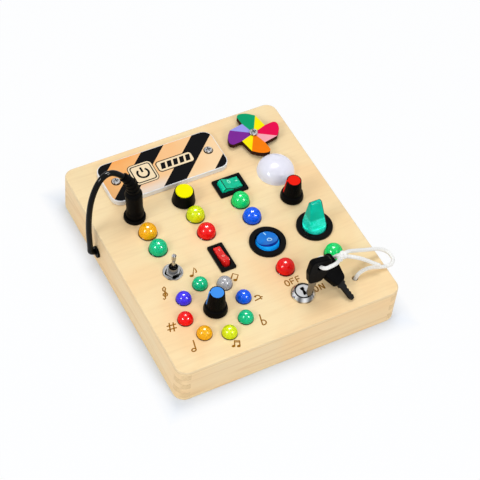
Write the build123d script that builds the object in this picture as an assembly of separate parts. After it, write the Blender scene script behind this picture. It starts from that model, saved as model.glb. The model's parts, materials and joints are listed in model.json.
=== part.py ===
from build123d import *
import math
import os

# Wooden busy board: a shallow plywood box whose face carries lamps, switches, knobs,
# a key lock with two keys on a string, a plug on a cord and a pinwheel.
# Millimetres. Origin at the middle of the base, X to the right along the front edge,
# Y to the back, Z up. Every place on the face is an (x, y) from that middle.

# ---------------------------------------------------------------- case
BOARD_X = 160.0
BOARD_Y = 180.0
BOARD_Z = 30.0
PANEL_T = 3.0
BASE_T = 3.0
FRAME_T = 8.0
CORNER_R = 7.5
EDGE_R = 0.9
FINGER_ROWS = 5
TOP = BOARD_Z
UNDER = BOARD_Z - PANEL_T

# ---------------------------------------------------------------- fits
FIXED_GAP = 0.02
RUN_GAP = 0.05
MOVE_GAP = 0.3
SWITCH_GAP = 0.45
PILL_GAP = 0.6
DISC_GAP = 0.8
HOLE_GAP = 0.1

# ---------------------------------------------------------------- base screws
SCREW_R = 1.5
SCREW_HEAD_R = 3.0
SCREW_LENGTH = 14.0
SCREW_INSET_X = 24.0

# ---------------------------------------------------------------- battery box
BATTERY_X = -17.6
BATTERY_CLEAR = 0.4
CELL_R = 5.2
CELL_LENGTH = 44.5
CELL_COUNT = 3
CELL_NUB_R = 1.9
CELL_NUB_H = 1.0
CELL_ROUND = 0.5
CELL_PITCH = 11.0
CELL_LIFT = 0.3
BAY_SPARE = 1.0
CASE_WALL = 1.5
CASE_LEDGE = 1.6
CONTACT_T = 0.6
CONTACT_SPRING = 3.0
BOSS_ZONE = 8.0
BOSS_R = 2.8
RIB_T = 1.2
COVER_T = 2.6
COVER_GAP = 0.3

# ---------------------------------------------------------------- circuit board
CIRCUIT_CLEAR_X = 6.0
CIRCUIT_CLEAR_Y = 4.0
CIRCUIT_X = 40.0
CIRCUIT_Y = 30.0
CIRCUIT_T = 1.6
STANDOFF_R = 2.2
STANDOFF_H = 3.0
STANDOFF_INSET = 3.5
STANDOFF_BORE_R = 1.0
CHIP_SIZE = (12.0, 8.0, 2.0)
CAPACITOR_R = 2.5
CAPACITOR_H = 6.0
CAPACITOR_SHIFT = (12.5, -4.0)
CONNECTOR_SIZE = (8.0, 4.0, 4.0)
CONNECTOR_SHIFT = (-8.0, -12.0)
WIRE_R = 0.7
WIRE_BEND = 1.2
WIRE_PITCH = 2.0
WIRE_TURN_SHARES = (0.6, 0.62, 0.4, 0.25)

# ---------------------------------------------------------------- sign plate
SIGN_AT = (-17.3, 64.6)
SIGN_X = 86.0
SIGN_Y = 34.5
SIGN_T = 4.0
SIGN_R = 7.0
SIGN_SCREW_SPAN = 68.8
SIGN_SCREW_R = 1.4
SIGN_SCREW_HEAD_R = 2.8
SIGN_SCREW_HEAD_H = 1.4

# ---------------------------------------------------------------- pinwheel
WHEEL_AT = (52.0, 65.0)
WHEEL_T = 3.4
WHEEL_BLADES = 4
WHEEL_TIP = (20.3, 12.0)
WHEEL_SIDE = (19.0, -10.0)
WHEEL_CORNER = (16.4, -31.7)
WHEEL_NOTCH = (11.1, -72.3)
WHEEL_TIP_ROUND = 2.7
WHEEL_SIDE_ROUND = 12.0
WHEEL_PLAY = 0.2
BUSH_R = 3.4
BUSH_H = 1.9
PIN_R = 1.6
PIN_HEAD_R = 3.0
PIN_HEAD_H = 1.5
PIN_TAIL = 5.0

# ---------------------------------------------------------------- lamps
DOME_AT = (52.3, 32.6)
DOME_R = 12.9
DOME_RIM_H = 0.9
DOME_H = 9.4
DOME_WALL = 1.3
DOME_LIGHT_R = 9.0
DOME_BOARD_R = 11.0
DOME_BOARD_T = 1.6

LARGE_CAP_R = 6.4
LARGE_CAP_RIM = 1.8
LARGE_STEM_R = 4.2
LARGE_LAMPS = (
    ("orange", -49.9, 19.3),
    ("emerald", -49.6, 4.5),
    ("lime", -15.1, 19.3),
    ("red", -14.8, 3.8),
    ("green", 17.8, 18.2),
    ("blue", 18.6, 3.0),
    ("red", 18.7, -43.2),
    ("green", 53.4, -45.4),
)
SMALL_CAP_R = 5.2
SMALL_CAP_RIM = 1.0
SMALL_STEM_R = 3.6
RING_AT = (-37.6, -52.9)
RING_R = 20.7
RING_LAMPS = ("blue", "clear", "emerald", "violet", "red", "orange", "lime", "emerald")
STEM_DEPTH = 6.0
LED_R = 2.5
LED_FLANGE_R = 2.9
LED_FLANGE_H = 1.0
LED_REACH = 8.0
LED_LEG = 0.5
LED_LEG_STAND = 1.27
LED_LEG_LONG = 7.0
LED_LEG_SHORT = 6.0
LED_BORE_R = LED_R + HOLE_GAP

# ---------------------------------------------------------------- power socket, plug, cord
JACK_AT = (-51.7, 35.4)
JACK_FLANGE_R = 7.4
JACK_FLANGE_H = 2.6
JACK_BODY_R = 5.8
JACK_DEPTH = 13.0
JACK_BORE_R = 2.85
JACK_BORE_DEPTH = 11.0
JACK_PIN_R = 1.0
BARREL_R = 2.78
BARREL_BORE_R = 1.2
BARREL_LENGTH = 9.5
PLUG_R = 6.0
PLUG_NECK_R = 5.5
PLUG_H = 25.0
PLUG_COLLAR_H = 4.0
PLUG_LEAN = 5.0
RELIEF_R = 4.6
RELIEF_TIP_R = 2.9
RELIEF_BEND_R = 24.0
RELIEF_BEND_ANGLE = 40.0
RELIEF_HEADING = 161.0
RELIEF_RIBS = 5
RIB_STAND = 0.35
CORD_R = 2.0
CORD_LEAD = 7.0
CORD_POINTS = (
    (-71.0, 38.3, 79.8),
    (-76.4, 37.2, 77.2),
    (-80.6, 36.0, 70.6),
    (-83.6, 35.0, 61.5),
    (-85.2, 34.1, 50.5),
    (-85.8, 33.3, 38.0),
    (-85.6, 32.6, 28.0),
    (-85.2, 32.0, 19.6),
)
CORD_TURN_IN_X = 5.1
CORD_END_INSIDE = 5.5
GROMMET_AT = (31.7, 12.0)
GROMMET_R = 3.0
GROMMET_FLANGE_R = 4.1
GROMMET_FLANGE_T = 1.5

# ---------------------------------------------------------------- knobs
SHAFT_R = 3.0
SHAFT_FOOT = 20.6
BUSHING_R = 4.4
BUSHING_TOP = 3.0
CONTROL_BODY_R = 8.2
CONTROL_BODY_H = 7.0
SELECTOR_BODY_R = 11.0
SELECTOR_BODY_H = 9.0
NUT_H = 2.0
BUSHING_NUT_AF = 11.0
KNOB_LIFT = 0.6
KNOB_RECESS = 3.2
KNOB_RECESS_R = 6.6
CAP_T = 0.9
CAP_ROUND = 0.4
YELLOW_AT = (-16.2, 34.8)
YELLOW_R = 8.0
YELLOW_TOP_R = 6.5
YELLOW_H = 9.0
YELLOW_CAP_R = 5.8
YELLOW_CAP_RISE = 1.0
RED_AT = (51.6, 8.4)
BLUE_AT = (-37.2, -53.3)
SKIRT_R = 7.9
SKIRT_H = 4.6
GRIP_FOOT_R = 6.3
GRIP_TOP_R = 4.95
GRIP_CAP_R = 4.3
RED_H = 16.4
BLUE_H = 17.6
FLUTES = 20
FLUTE_R = 0.45
POINTER_W = 1.5
POINTER_STAND = 0.2
RED_POINTER_ANGLE = 160.0
BLUE_POINTER_ANGLE = 155.0

# ---------------------------------------------------------------- rocker switches
BEZEL_H = 2.0
PIVOT_DROP = 0.5
ROCKER_DROP = 5.0
ROCKER_CREST = 3.1
ROCKER_TILT = 12.5
ROCKER_FACE_ANGLE = 12.0
TRUNNION_R = 1.1
TRUNNION_L = 0.9
SWITCH_DEPTH = 14.0
TERMINAL_SIZE = (1.0, 4.0, 5.0)
TERMINAL_STAND = 4.0
SLAB_BEZEL = (21.0, 15.0)
SLAB_BODY = (19.2, 13.0)
SLAB_ROCKER = (15.8, 9.4)
GREEN_AT = (17.8, 33.2)
PILL_BEZEL = (21.8, 10.9)
PILL_BODY = (19.4, 8.6)
PILL_ROCKER = (17.0, 5.4)
RED_SWITCH_AT = (-15.0, -18.6)
DISC_BEZEL_R = 12.3
DISC_BODY_R = 9.9
DISC_ROCKER_R = 7.9
BLUE_SWITCH_AT = (18.3, -19.5)
TEAL_AT = (53.2, -20.2)
FIN_CREST = 2.6
FIN_TILT = 9.0
FIN_FACE_ANGLE = 11.0
FIN_FOOT_X = 13.2
FIN_TOP_X = 8.6
FIN_FOOT_Y = 12.6
FIN_TOP_Y = 3.0
FIN_H = 21.0
FIN_ROUND = 0.9

# ---------------------------------------------------------------- toggle switch
TOGGLE_AT = (-48.9, -16.0)
TOGGLE_BODY = (13.0, 8.0, 10.0)
TOGGLE_BUSHING_R = 3.1
TOGGLE_BUSHING_TOP = 6.4
TOGGLE_WASHER_R = 6.7
TOGGLE_WASHER_H = 0.8
TOGGLE_NUT_AF = 8.4
TOGGLE_NUT_H = 2.2
LEVER_R = 1.25
LEVER_TIP_R = 1.5
LEVER_H = 18.4
LEVER_BALL_R = 1.9
LEVER_SWEEP = 12.0

# ---------------------------------------------------------------- key lock and keys
LOCK_AT = (19.7, -65.6)
LOCK_BEZEL_R = 8.1
LOCK_FACE_R = 6.1
LOCK_BEZEL_H = 3.4
LOCK_BODY_R = 6.0
LOCK_DEPTH = 17.0
CORE_R = 5.0
CORE_SINK = 0.3
CORE_FLOOR = 2.0
KEYWAY_W = 1.7
KEYWAY_L = 6.2
KEYWAY_END_W = 2.6
KEYWAY_DEPTH = 14.0
LOCK_NUT_AF = 16.0
LOCK_NUT_H = 3.0
KEY_REACH = 27.4
KEY_HEAD_BELOW = 14.0
KEY_HEAD_ABOVE = 6.0
KEY_HEAD_W = 15.0
KEY_HEAD_FOOT_W = 9.6
KEY_HEAD_T = 4.4
KEY_HOLE_R = 2.5
KEY_BLADE_W = 4.6
KEY_BLADE_T = 1.6
KEY_TIP_W = 2.0
KEY_ROUND = 3.0
KEY_RIM_ROUND = 0.8
KEY_SOCKET = 4.0
KEY_SHOULDER = 1.1
KEY_SHOULDER_H = 2.0
KEY_CUTS = 3
KEY_CUT_PITCH = 2.4
KEY_CUT_FIRST = 9.0
KEY_CUT_DEPTH = 0.9
KEY_ONE_TIP = (20.6, -70.4)
KEY_ONE_HEADING = 15.0
KEY_ONE_RISE = 79.0
KEY_TWO_TIP = (46.4, -83.2)
KEY_TWO_HEADING = 114.2
KEY_TWO_RISE = 33.0
KEY_TWO_ROLL = 22.0
KEY_TIP_GAP = 0.4

# ---------------------------------------------------------------- key string
STRING_R = 1.3
STRING_HOLE_R = 2.1
STRING_HOLE_AT = (56.5, -68.7)
STOPPER_R = 2.8
KNOT_R = 3.8
KNOT_AT = (46.4, -63.2, 52.4)
STRING_POINTS = (
    (56.5, -68.7, 24.4),
    (56.7, -68.7, 31.6),
    (61.0, -68.2, 34.9),
    (68.0, -67.9, 34.7),
    (76.0, -69.9, 33.0),
    (82.8, -70.4, 32.0),
    (87.0, -66.2, 31.9),
    (85.6, -60.0, 33.2),
    (79.6, -57.5, 36.2),
    (69.5, -57.9, 40.5),
    (59.5, -59.6, 47.0),
    (52.6, -61.0, 51.8),
    (48.8, -62.3, 53.2),
)
LOOP_POINTS = (
    (44.0, -64.3, 53.6),
    (40.0, -69.5, 57.5),
    (34.0, -73.4, 62.3),
    (25.8, -73.4, 61.4),
    (25.7, -64.8, 60.7),
    (33.0, -61.5, 57.5),
    (38.6, -64.2, 49.9),
    (35.4, -60.2, 42.3),
    (38.4, -57.7, 41.4),
    (44.1, -56.0, 42.2),
    (46.6, -57.6, 45.7),
    (47.7, -59.7, 48.9),
    (48.4, -61.8, 50.0),
    (54.8, -65.6, 49.9),
    (61.0, -66.6, 45.8),
    (67.0, -67.9, 40.8),
    (72.8, -70.5, 37.2),
)


# ---------------------------------------------------------------- shared helpers
def at(xy, z=0.0):
    return Pos(xy[0], xy[1], z)


def rod(radius, low, high, xy=(0.0, 0.0)):
    """Upright round bar between two heights."""
    return at(xy, low) * Cylinder(radius, high - low, align=(Align.CENTER, Align.CENTER, Align.MIN))


def tube(outer, inner, low, high, xy=(0.0, 0.0)):
    return rod(outer, low, high, xy) - rod(inner, low - 1, high + 1, xy)


def cone(foot_r, top_r, low, high):
    return Pos(0, 0, low) * Cone(foot_r, top_r, high - low, align=(Align.CENTER, Align.CENTER, Align.MIN))


def block(size_x, size_y, low, high, xy=(0.0, 0.0)):
    """Upright box between two heights, centred on xy."""
    return at(xy, low) * Box(size_x, size_y, high - low, align=(Align.CENTER, Align.CENTER, Align.MIN))


def slab(sketch, low, high, xy=(0.0, 0.0)):
    """Flat shape drawn about the origin, raised between two heights."""
    return at(xy, low) * extrude(sketch, high - low)


def hexagon(across_flats, low, high, hole_r, xy=(0.0, 0.0)):
    flat = RegularPolygon(across_flats / 2, 6, major_radius=False)
    return slab(flat, low, high, xy) - rod(hole_r, low - 1, high + 1, xy)


def turned(profile):
    """Solid of revolution about Z from (radius, height) corners."""
    face = make_face(Polyline(*[(r, 0, z) for r, z in profile], close=True))
    return revolve(face, Axis.Z)


def edges_at(solid, height, tolerance=0.01):
    return [e for e in solid.edges() if all(abs(v.Z - height) < tolerance for v in e.vertices())]


def polar(radius, degrees):
    angle = math.radians(degrees)
    return (radius * math.cos(angle), radius * math.sin(angle))


def bend_radii(points):
    """Largest radii that the runs of a route allow at its corners."""
    radii = []
    for before, corner, after in zip(points, points[1:], points[2:]):
        run_in = Vector(*corner) - Vector(*before)
        run_out = Vector(*after) - Vector(*corner)
        turn = math.radians(run_in.get_angle(run_out))
        radii.append(0.45 * min(run_in.length, run_out.length) / math.tan(turn / 2))
    return radii


def flexible(points, radius):
    """Round tube along a route of straight runs joined by tangent arcs."""
    radii = bend_radii(points)
    path = FilletPolyline(*points, radius=radii)
    start = Plane(origin=path @ 0, z_dir=path % 0)
    solid = sweep(start * Circle(radius), path=path)
    section = math.pi * radius**2
    print("tube length", round(path.length, 1), "radii", [round(r, 1) for r in radii],
          "volume share", round(solid.volume / (section * path.length), 4))
    return solid


# ---------------------------------------------------------------- wooden case
def case_outline(low, high):
    return slab(RectangleRounded(BOARD_X, BOARD_Y, CORNER_R), low, high)


def base_screw_places():
    side_x = (BOARD_X - FRAME_T) / 2
    end_y = (BOARD_Y - FRAME_T) / 2
    inner_x = BOARD_X / 2 - SCREW_INSET_X
    return [(x, y) for x in (-inner_x, inner_x) for y in (-end_y, end_y)] + [(-side_x, 0), (side_x, 0)]


def finger_height():
    return (UNDER - BASE_T) / FINGER_ROWS


def end_board(side):
    """Front (side -1) or back (side 1) board, with fingers in its odd rows."""
    y = side * (BOARD_Y - FRAME_T) / 2
    board = None
    for row in range(FINGER_ROWS):
        width = BOARD_X if row % 2 == 1 else BOARD_X - 2 * FRAME_T
        low = BASE_T + row * finger_height()
        piece = block(width, FRAME_T, low, low + finger_height(), (0, y))
        board = piece if board is None else board + piece
    return board & case_outline(BASE_T, UNDER)


def side_board(side):
    """Left (side -1) or right (side 1) board, with fingers in its even rows."""
    x = side * (BOARD_X - FRAME_T) / 2
    board = None
    for row in range(FINGER_ROWS):
        length = BOARD_Y if row % 2 == 0 else BOARD_Y - 2 * FRAME_T
        low = BASE_T + row * finger_height()
        piece = block(FRAME_T, length, low, low + finger_height(), (x, 0))
        board = piece if board is None else board + piece
    return board & case_outline(BASE_T, UNDER)


def drilled(board):
    for place in base_screw_places():
        board -= rod(SCREW_R + FIXED_GAP, BASE_T - 1, SCREW_LENGTH + FIXED_GAP, place)
    return board


def frame_boards():
    left = drilled(side_board(-1))
    left -= Pos(-BOARD_X / 2, GROMMET_AT[0], GROMMET_AT[1]) * Rot(0, 90, 0) * Cylinder(
        GROMMET_R + FIXED_GAP, 4 * FRAME_T
    )
    return {
        "frame_front": drilled(end_board(-1)),
        "frame_back": drilled(end_board(1)),
        "frame_left": left,
        "frame_right": drilled(side_board(1)),
    }


def ring_places():
    step = 360 / len(RING_LAMPS)
    places = []
    for index in range(len(RING_LAMPS)):
        x, y = polar(RING_R, index * step)
        places.append((RING_AT[0] + x, RING_AT[1] + y))
    return places


def large_places():
    return [(x, y) for _, x, y in LARGE_LAMPS]


def sign_screw_places():
    half = SIGN_SCREW_SPAN / 2
    return [(SIGN_AT[0] - half, SIGN_AT[1]), (SIGN_AT[0] + half, SIGN_AT[1])]


def top_panel():
    panel = case_outline(UNDER, TOP)
    panel = fillet(edges_at(panel, TOP), EDGE_R)
    low, high = UNDER - 1, TOP + 1
    round_holes = [(LARGE_STEM_R + HOLE_GAP, place) for place in large_places()]
    round_holes += [(SMALL_STEM_R + HOLE_GAP, place) for place in ring_places()]
    round_holes += [(SIGN_SCREW_R + FIXED_GAP, place) for place in sign_screw_places()]
    round_holes += [(BUSHING_R + HOLE_GAP, place) for place in (YELLOW_AT, RED_AT, BLUE_AT)]
    round_holes += [(DISC_BODY_R + HOLE_GAP, place) for place in (BLUE_SWITCH_AT, TEAL_AT)]
    round_holes += [
        (PIN_R + FIXED_GAP, WHEEL_AT),
        (DOME_LIGHT_R, DOME_AT),
        (JACK_BODY_R + HOLE_GAP, JACK_AT),
        (TOGGLE_BUSHING_R + HOLE_GAP, TOGGLE_AT),
        (LOCK_BODY_R + HOLE_GAP, LOCK_AT),
        (STRING_HOLE_R, STRING_HOLE_AT),
    ]
    for radius, place in round_holes:
        panel -= rod(radius, low, high, place)
    gap = 2 * HOLE_GAP
    panel -= block(SLAB_BODY[0] + gap, SLAB_BODY[1] + gap, low, high, GREEN_AT)
    panel -= block(PILL_BODY[1] + gap, PILL_BODY[0] + gap, low, high, RED_SWITCH_AT)
    return panel


# ---------------------------------------------------------------- battery box and base
def battery_place():
    """Middle of the battery box, close behind the back board."""
    depth = bay_y() + 2 * (CASE_WALL + CASE_LEDGE)
    return (BATTERY_X, BOARD_Y / 2 - FRAME_T - BATTERY_CLEAR - depth / 2)


def bay_x():
    return CELL_LENGTH + 2 * CONTACT_T + CONTACT_SPRING + BOSS_ZONE


def bay_y():
    return CELL_PITCH * CELL_COUNT + BAY_SPARE


def bay_top():
    return BASE_T + 2 * CELL_R + BAY_SPARE


def boss_place():
    return (BATTERY_X + bay_x() / 2 - BOSS_ZONE / 2, battery_place()[1])


def bottom_panel():
    panel = case_outline(0, BASE_T)
    panel = fillet(edges_at(panel, 0), EDGE_R)
    panel -= block(bay_x(), bay_y(), -1, BASE_T + 1, battery_place())
    for place in base_screw_places():
        panel -= rod(SCREW_R + FIXED_GAP, -1, BASE_T + 1, place)
        panel -= at(place) * cone(SCREW_HEAD_R + FIXED_GAP, SCREW_R + FIXED_GAP, 0, 2.0)
    return panel


def countersunk(length, place, low=0.0):
    head = at(place, low) * cone(SCREW_HEAD_R, SCREW_R, 0, 2.0)
    slot = block(0.6, 3.2, low - 1, low + 0.8, place) + block(3.2, 0.6, low - 1, low + 0.8, place)
    return head + rod(SCREW_R, low, low + length, place) - slot


def base_screws():
    screws = [countersunk(SCREW_LENGTH, place) for place in base_screw_places()]
    screws.append(countersunk(COVER_T + 6.0, boss_place()))
    return screws


def battery_case():
    top = bay_top() + CASE_WALL
    outer_x = bay_x() + 2 * (CASE_WALL + CASE_LEDGE)
    outer_y = bay_y() + 2 * (CASE_WALL + CASE_LEDGE)
    flange = block(outer_x, outer_y, BASE_T, BASE_T + CASE_WALL, battery_place())
    shell = block(bay_x() + 2 * CASE_WALL, bay_y() + 2 * CASE_WALL, BASE_T, top, battery_place())
    case = flange + shell - block(bay_x(), bay_y(), BASE_T - 1, bay_top(), battery_place())
    boss = rod(BOSS_R, COVER_T, top, boss_place()) - rod(SCREW_R + FIXED_GAP, 0, COVER_T + 7.0, boss_place())
    rib_x = BATTERY_X + bay_x() / 2 - BOSS_ZONE + 2 * FIXED_GAP + RIB_T / 2
    rib = block(RIB_T, bay_y(), BASE_T + BAY_SPARE, bay_top(), (rib_x, battery_place()[1]))
    return case + boss + rib


def cell_rows():
    first = battery_place()[1] - CELL_PITCH * (CELL_COUNT - 1) / 2
    return [first + CELL_PITCH * row for row in range(CELL_COUNT)]


def cell_left():
    return BATTERY_X - bay_x() / 2 + CONTACT_T + CONTACT_SPRING


def battery_cells():
    cells = []
    for row, y in enumerate(cell_rows()):
        body = rod(CELL_R, 0, CELL_LENGTH - CELL_NUB_H)
        body = fillet(body.edges(), CELL_ROUND)
        cell = body + rod(CELL_NUB_R, CELL_LENGTH - CELL_NUB_H, CELL_LENGTH)
        turn = 90 if row % 2 == 0 else -90
        start = cell_left() if row % 2 == 0 else cell_left() + CELL_LENGTH
        cells.append(Pos(start, y, BASE_T + CELL_R + CELL_LIFT) * Rot(0, turn, 0) * cell)
    return cells


def battery_contacts():
    """A plate with a tapered spring at the left end and a flat plate at the right end of each row."""
    contacts = []
    left = BATTERY_X - bay_x() / 2
    right = cell_left() + CELL_LENGTH
    middle = BASE_T + CELL_R + CELL_LIFT
    for y in cell_rows():
        plate = Pos(left + CONTACT_T / 2, y, middle) * Box(CONTACT_T, CELL_PITCH - 2, 8)
        spring = Pos(left + CONTACT_T, y, middle) * Rot(0, 90, 0) * cone(3.4, 1.8, 0, CONTACT_SPRING - 0.05)
        contacts.append(plate + spring)
        contacts.append(Pos(right + CONTACT_T / 2 + 0.02, y, middle) * Box(CONTACT_T, CELL_PITCH - 2, 8))
    return contacts


def battery_cover():
    cover = block(bay_x() - 2 * COVER_GAP, bay_y() - 2 * COVER_GAP, 0, COVER_T, battery_place())
    cover = fillet(cover.edges().filter_by(Axis.Z), 1.5)
    place = boss_place()
    cover -= rod(SCREW_R + HOLE_GAP, -1, COVER_T + 1, place)
    cover -= at(place) * cone(SCREW_HEAD_R + FIXED_GAP, SCREW_R + FIXED_GAP, 0, 2.0)
    grip_x = BATTERY_X - bay_x() / 2 + 7.0
    for index in range(4):
        cover -= block(1.0, 14.0, -1, 0.6, (grip_x + 2.2 * index, battery_place()[1]))
    return cover


def circuit_place():
    x = BOARD_X / 2 - FRAME_T - CIRCUIT_CLEAR_X - CIRCUIT_X / 2
    y = BOARD_Y / 2 - FRAME_T - CIRCUIT_CLEAR_Y - CIRCUIT_Y / 2
    return (x, y)


def shifted(place, shift):
    return (place[0] + shift[0], place[1] + shift[1])


def circuit_board():
    middle = circuit_place()
    low = BASE_T + STANDOFF_H
    top = low + CIRCUIT_T
    board = block(CIRCUIT_X, CIRCUIT_Y, low, top, middle)
    for sx in (-1, 1):
        for sy in (-1, 1):
            corner = (sx * (CIRCUIT_X / 2 - STANDOFF_INSET), sy * (CIRCUIT_Y / 2 - STANDOFF_INSET))
            board += rod(STANDOFF_R, BASE_T, low, shifted(middle, corner))
            board -= rod(STANDOFF_BORE_R, BASE_T - 1, top + 1, shifted(middle, corner))
    board += block(CHIP_SIZE[0], CHIP_SIZE[1], top, top + CHIP_SIZE[2], middle)
    board += rod(CAPACITOR_R, top, top + CAPACITOR_H, shifted(middle, CAPACITOR_SHIFT))
    plug_x, plug_y, plug_z = CONNECTOR_SIZE
    board += block(plug_x, plug_y, top, top + plug_z, shifted(middle, CONNECTOR_SHIFT))
    return board


def lit_switch_terminals():
    """Where a wire reaches each lit switch: its terminal on the side towards the circuit board."""
    places = [shifted(GREEN_AT, (TERMINAL_STAND, 0.0))]
    for place in (RED_SWITCH_AT, BLUE_SWITCH_AT, TEAL_AT):
        places.append(shifted(place, (0.0, TERMINAL_STAND)))
    return places


def wiring():
    """Insulated wires from the circuit board's plug to the four lit switches.

    Each turns aside at its own share of the way from its switch back to the plug."""
    plug_x, plug_y = shifted(circuit_place(), CONNECTOR_SHIFT)
    first_x = plug_x - WIRE_PITCH * (len(WIRE_TURN_SHARES) - 1) / 2
    start_y = plug_y - CONNECTOR_SIZE[1] / 2
    level = BASE_T + STANDOFF_H + CIRCUIT_T + WIRE_R + HOLE_GAP
    terminal = TOP - SWITCH_DEPTH - TERMINAL_SIZE[2]
    wires = []
    for index, (share, (x, y)) in enumerate(zip(WIRE_TURN_SHARES, lit_switch_terminals())):
        start_x = first_x + WIRE_PITCH * index
        turn_y = y + share * (start_y - y)
        route = [(start_x, start_y, level), (start_x, turn_y, level), (x, turn_y, level)]
        route += [(x, y, level), (x, y, terminal)]
        path = FilletPolyline(*route, radius=WIRE_BEND)
        section = Plane(origin=path @ 0, z_dir=path % 0) * Circle(WIRE_R)
        wires.append(sweep(section, path=path))
    return wires


# ---------------------------------------------------------------- sign plate
def sign_plate():
    plate = slab(RectangleRounded(SIGN_X, SIGN_Y, SIGN_R), TOP, TOP + SIGN_T, SIGN_AT)
    plate = fillet(edges_at(plate, TOP + SIGN_T), 0.5)
    for place in sign_screw_places():
        plate -= rod(SIGN_SCREW_R + FIXED_GAP, TOP - 1, TOP + SIGN_T + 1, place)
    return plate


def pan_screw(head_r, head_h, shank_r, seat, foot, place):
    """Cross-head screw with a domed head that sits at the height of its seat."""
    head = rod(head_r, seat, seat + head_h)
    head = fillet(edges_at(head, seat + head_h), head_h * 0.6)
    depth = head_h * 0.7
    top = seat + head_h
    cross = block(0.3 * head_r, 1.25 * head_r, top - depth, top + 1)
    cross += block(1.25 * head_r, 0.3 * head_r, top - depth, top + 1)
    return at(place) * (head + rod(shank_r, foot, seat) - cross)


def sign_screws():
    seat = TOP + SIGN_T
    return [
        pan_screw(SIGN_SCREW_HEAD_R, SIGN_SCREW_HEAD_H, SIGN_SCREW_R, seat, UNDER - 3.0, place)
        for place in sign_screw_places()
    ]


# ---------------------------------------------------------------- pinwheel
def wheel_outline():
    """Blades with a rounded tip, a bowed side and a straight chamfer, as (radius, angle) corners."""
    points = []
    for blade in range(WHEEL_BLADES):
        turn = -blade * 360 / WHEEL_BLADES
        for radius, angle in (WHEEL_TIP, WHEEL_SIDE, WHEEL_CORNER, WHEEL_NOTCH):
            points.append(polar(radius, angle + turn))
    face = make_face(Polyline(*points, close=True))
    for corner, rounding in ((WHEEL_TIP, WHEEL_TIP_ROUND), (WHEEL_SIDE, WHEEL_SIDE_ROUND)):
        chosen = [v for v in face.vertices() if abs(math.hypot(v.X, v.Y) - corner[0]) < FIXED_GAP]
        face = fillet(chosen, rounding)
    return face


def wheel_low():
    return TOP + BUSH_H + WHEEL_PLAY


def pinwheel():
    low = wheel_low()
    wheel = slab(wheel_outline(), low, low + WHEEL_T) - rod(PIN_R + RUN_GAP, low - 1, low + WHEEL_T + 1)
    return at(WHEEL_AT) * wheel


def pinwheel_spacer():
    return tube(BUSH_R, PIN_R + FIXED_GAP, TOP, TOP + BUSH_H, WHEEL_AT)


def pinwheel_pin():
    seat = wheel_low() + WHEEL_T + WHEEL_PLAY
    return pan_screw(PIN_HEAD_R, PIN_HEAD_H, PIN_R, seat, UNDER - PIN_TAIL, WHEEL_AT)


# ---------------------------------------------------------------- lamps
def dome_lamp():
    outer = rod(DOME_R, TOP, TOP + DOME_RIM_H) + dome_cap(DOME_R - 0.2, DOME_H)
    return at(DOME_AT) * (outer - dome_cap(DOME_R - 0.2 - DOME_WALL, DOME_H - DOME_WALL) - rod(
        DOME_R - 0.2 - DOME_WALL, TOP - 1, TOP + DOME_RIM_H
    ))


def dome_cap(radius, height):
    """Half of a flattened ball that stands on the rim of the round lamp."""
    ball = scale(Sphere(1.0), by=(radius, radius, height))
    upper = block(3 * radius, 3 * radius, 0, 2 * height)
    return Pos(0, 0, TOP + DOME_RIM_H) * (ball & upper)


def dome_lamp_board():
    disc = rod(DOME_BOARD_R, UNDER - DOME_BOARD_T, UNDER, DOME_AT)
    light = rod(2.2, UNDER, UNDER + 2.0, DOME_AT)
    return disc + light


def lamp_cap(radius, rim, stem_r):
    """Coloured cap: a domed head on the face and a hollow stem through the panel."""
    head = rod(radius, TOP, TOP + rim) + Pos(0, 0, TOP + rim) * (
        Sphere(radius) & block(3 * radius, 3 * radius, 0, 2 * radius)
    )
    stem = rod(stem_r, TOP - STEM_DEPTH, TOP)
    bore = rod(LED_BORE_R, TOP - STEM_DEPTH - 1, TOP - STEM_DEPTH + LED_REACH + HOLE_GAP)
    return head + stem - bore


def large_lamp_caps():
    cap = lamp_cap(LARGE_CAP_R, LARGE_CAP_RIM, LARGE_STEM_R)
    return [at(place) * cap for place in large_places()]


def small_lamp_caps():
    cap = lamp_cap(SMALL_CAP_R, SMALL_CAP_RIM, SMALL_STEM_R)
    return [at(place) * cap for place in ring_places()]


def lamp_leds():
    foot = TOP - STEM_DEPTH
    body = rod(LED_R, foot, foot + LED_REACH)
    body = fillet(edges_at(body, foot + LED_REACH), LED_R * 0.9)
    flange = rod(LED_FLANGE_R, foot - LED_FLANGE_H, foot)
    led = body + flange
    for reach, x in ((LED_LEG_LONG, LED_LEG_STAND), (LED_LEG_SHORT, -LED_LEG_STAND)):
        led += block(LED_LEG, LED_LEG, foot - reach, foot - LED_FLANGE_H, (x, 0))
    return [at(place) * led for place in large_places() + ring_places()]


# ---------------------------------------------------------------- power socket, plug and cord
def jack_socket():
    flange = rod(JACK_FLANGE_R, TOP, TOP + JACK_FLANGE_H)
    flange = fillet(edges_at(flange, TOP + JACK_FLANGE_H), 1.0)
    body = rod(JACK_BODY_R, TOP - JACK_DEPTH, TOP)
    bore_floor = TOP + JACK_FLANGE_H - JACK_BORE_DEPTH
    bore = rod(JACK_BORE_R, bore_floor, TOP + JACK_FLANGE_H + 1)
    pin = rod(JACK_PIN_R, bore_floor - 1, TOP)
    lugs = block(0.8, 3.0, TOP - JACK_DEPTH - 4.0, TOP - JACK_DEPTH, (3.0, 0))
    lugs += block(0.8, 3.0, TOP - JACK_DEPTH - 4.0, TOP - JACK_DEPTH, (-3.0, 0))
    return at(JACK_AT) * (flange + body - bore + pin + lugs)


def plug_low():
    return TOP + JACK_FLANGE_H + MOVE_GAP


def plug_barrel():
    low = plug_low() - BARREL_LENGTH
    return at(JACK_AT) * tube(BARREL_R, BARREL_BORE_R, low, plug_low())


def plug_lean():
    """Frame of the plug's upper body, which leans away from its upright collar."""
    return at(JACK_AT, plug_low() + PLUG_COLLAR_H) * Rot(0, -PLUG_LEAN, 0)


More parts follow.
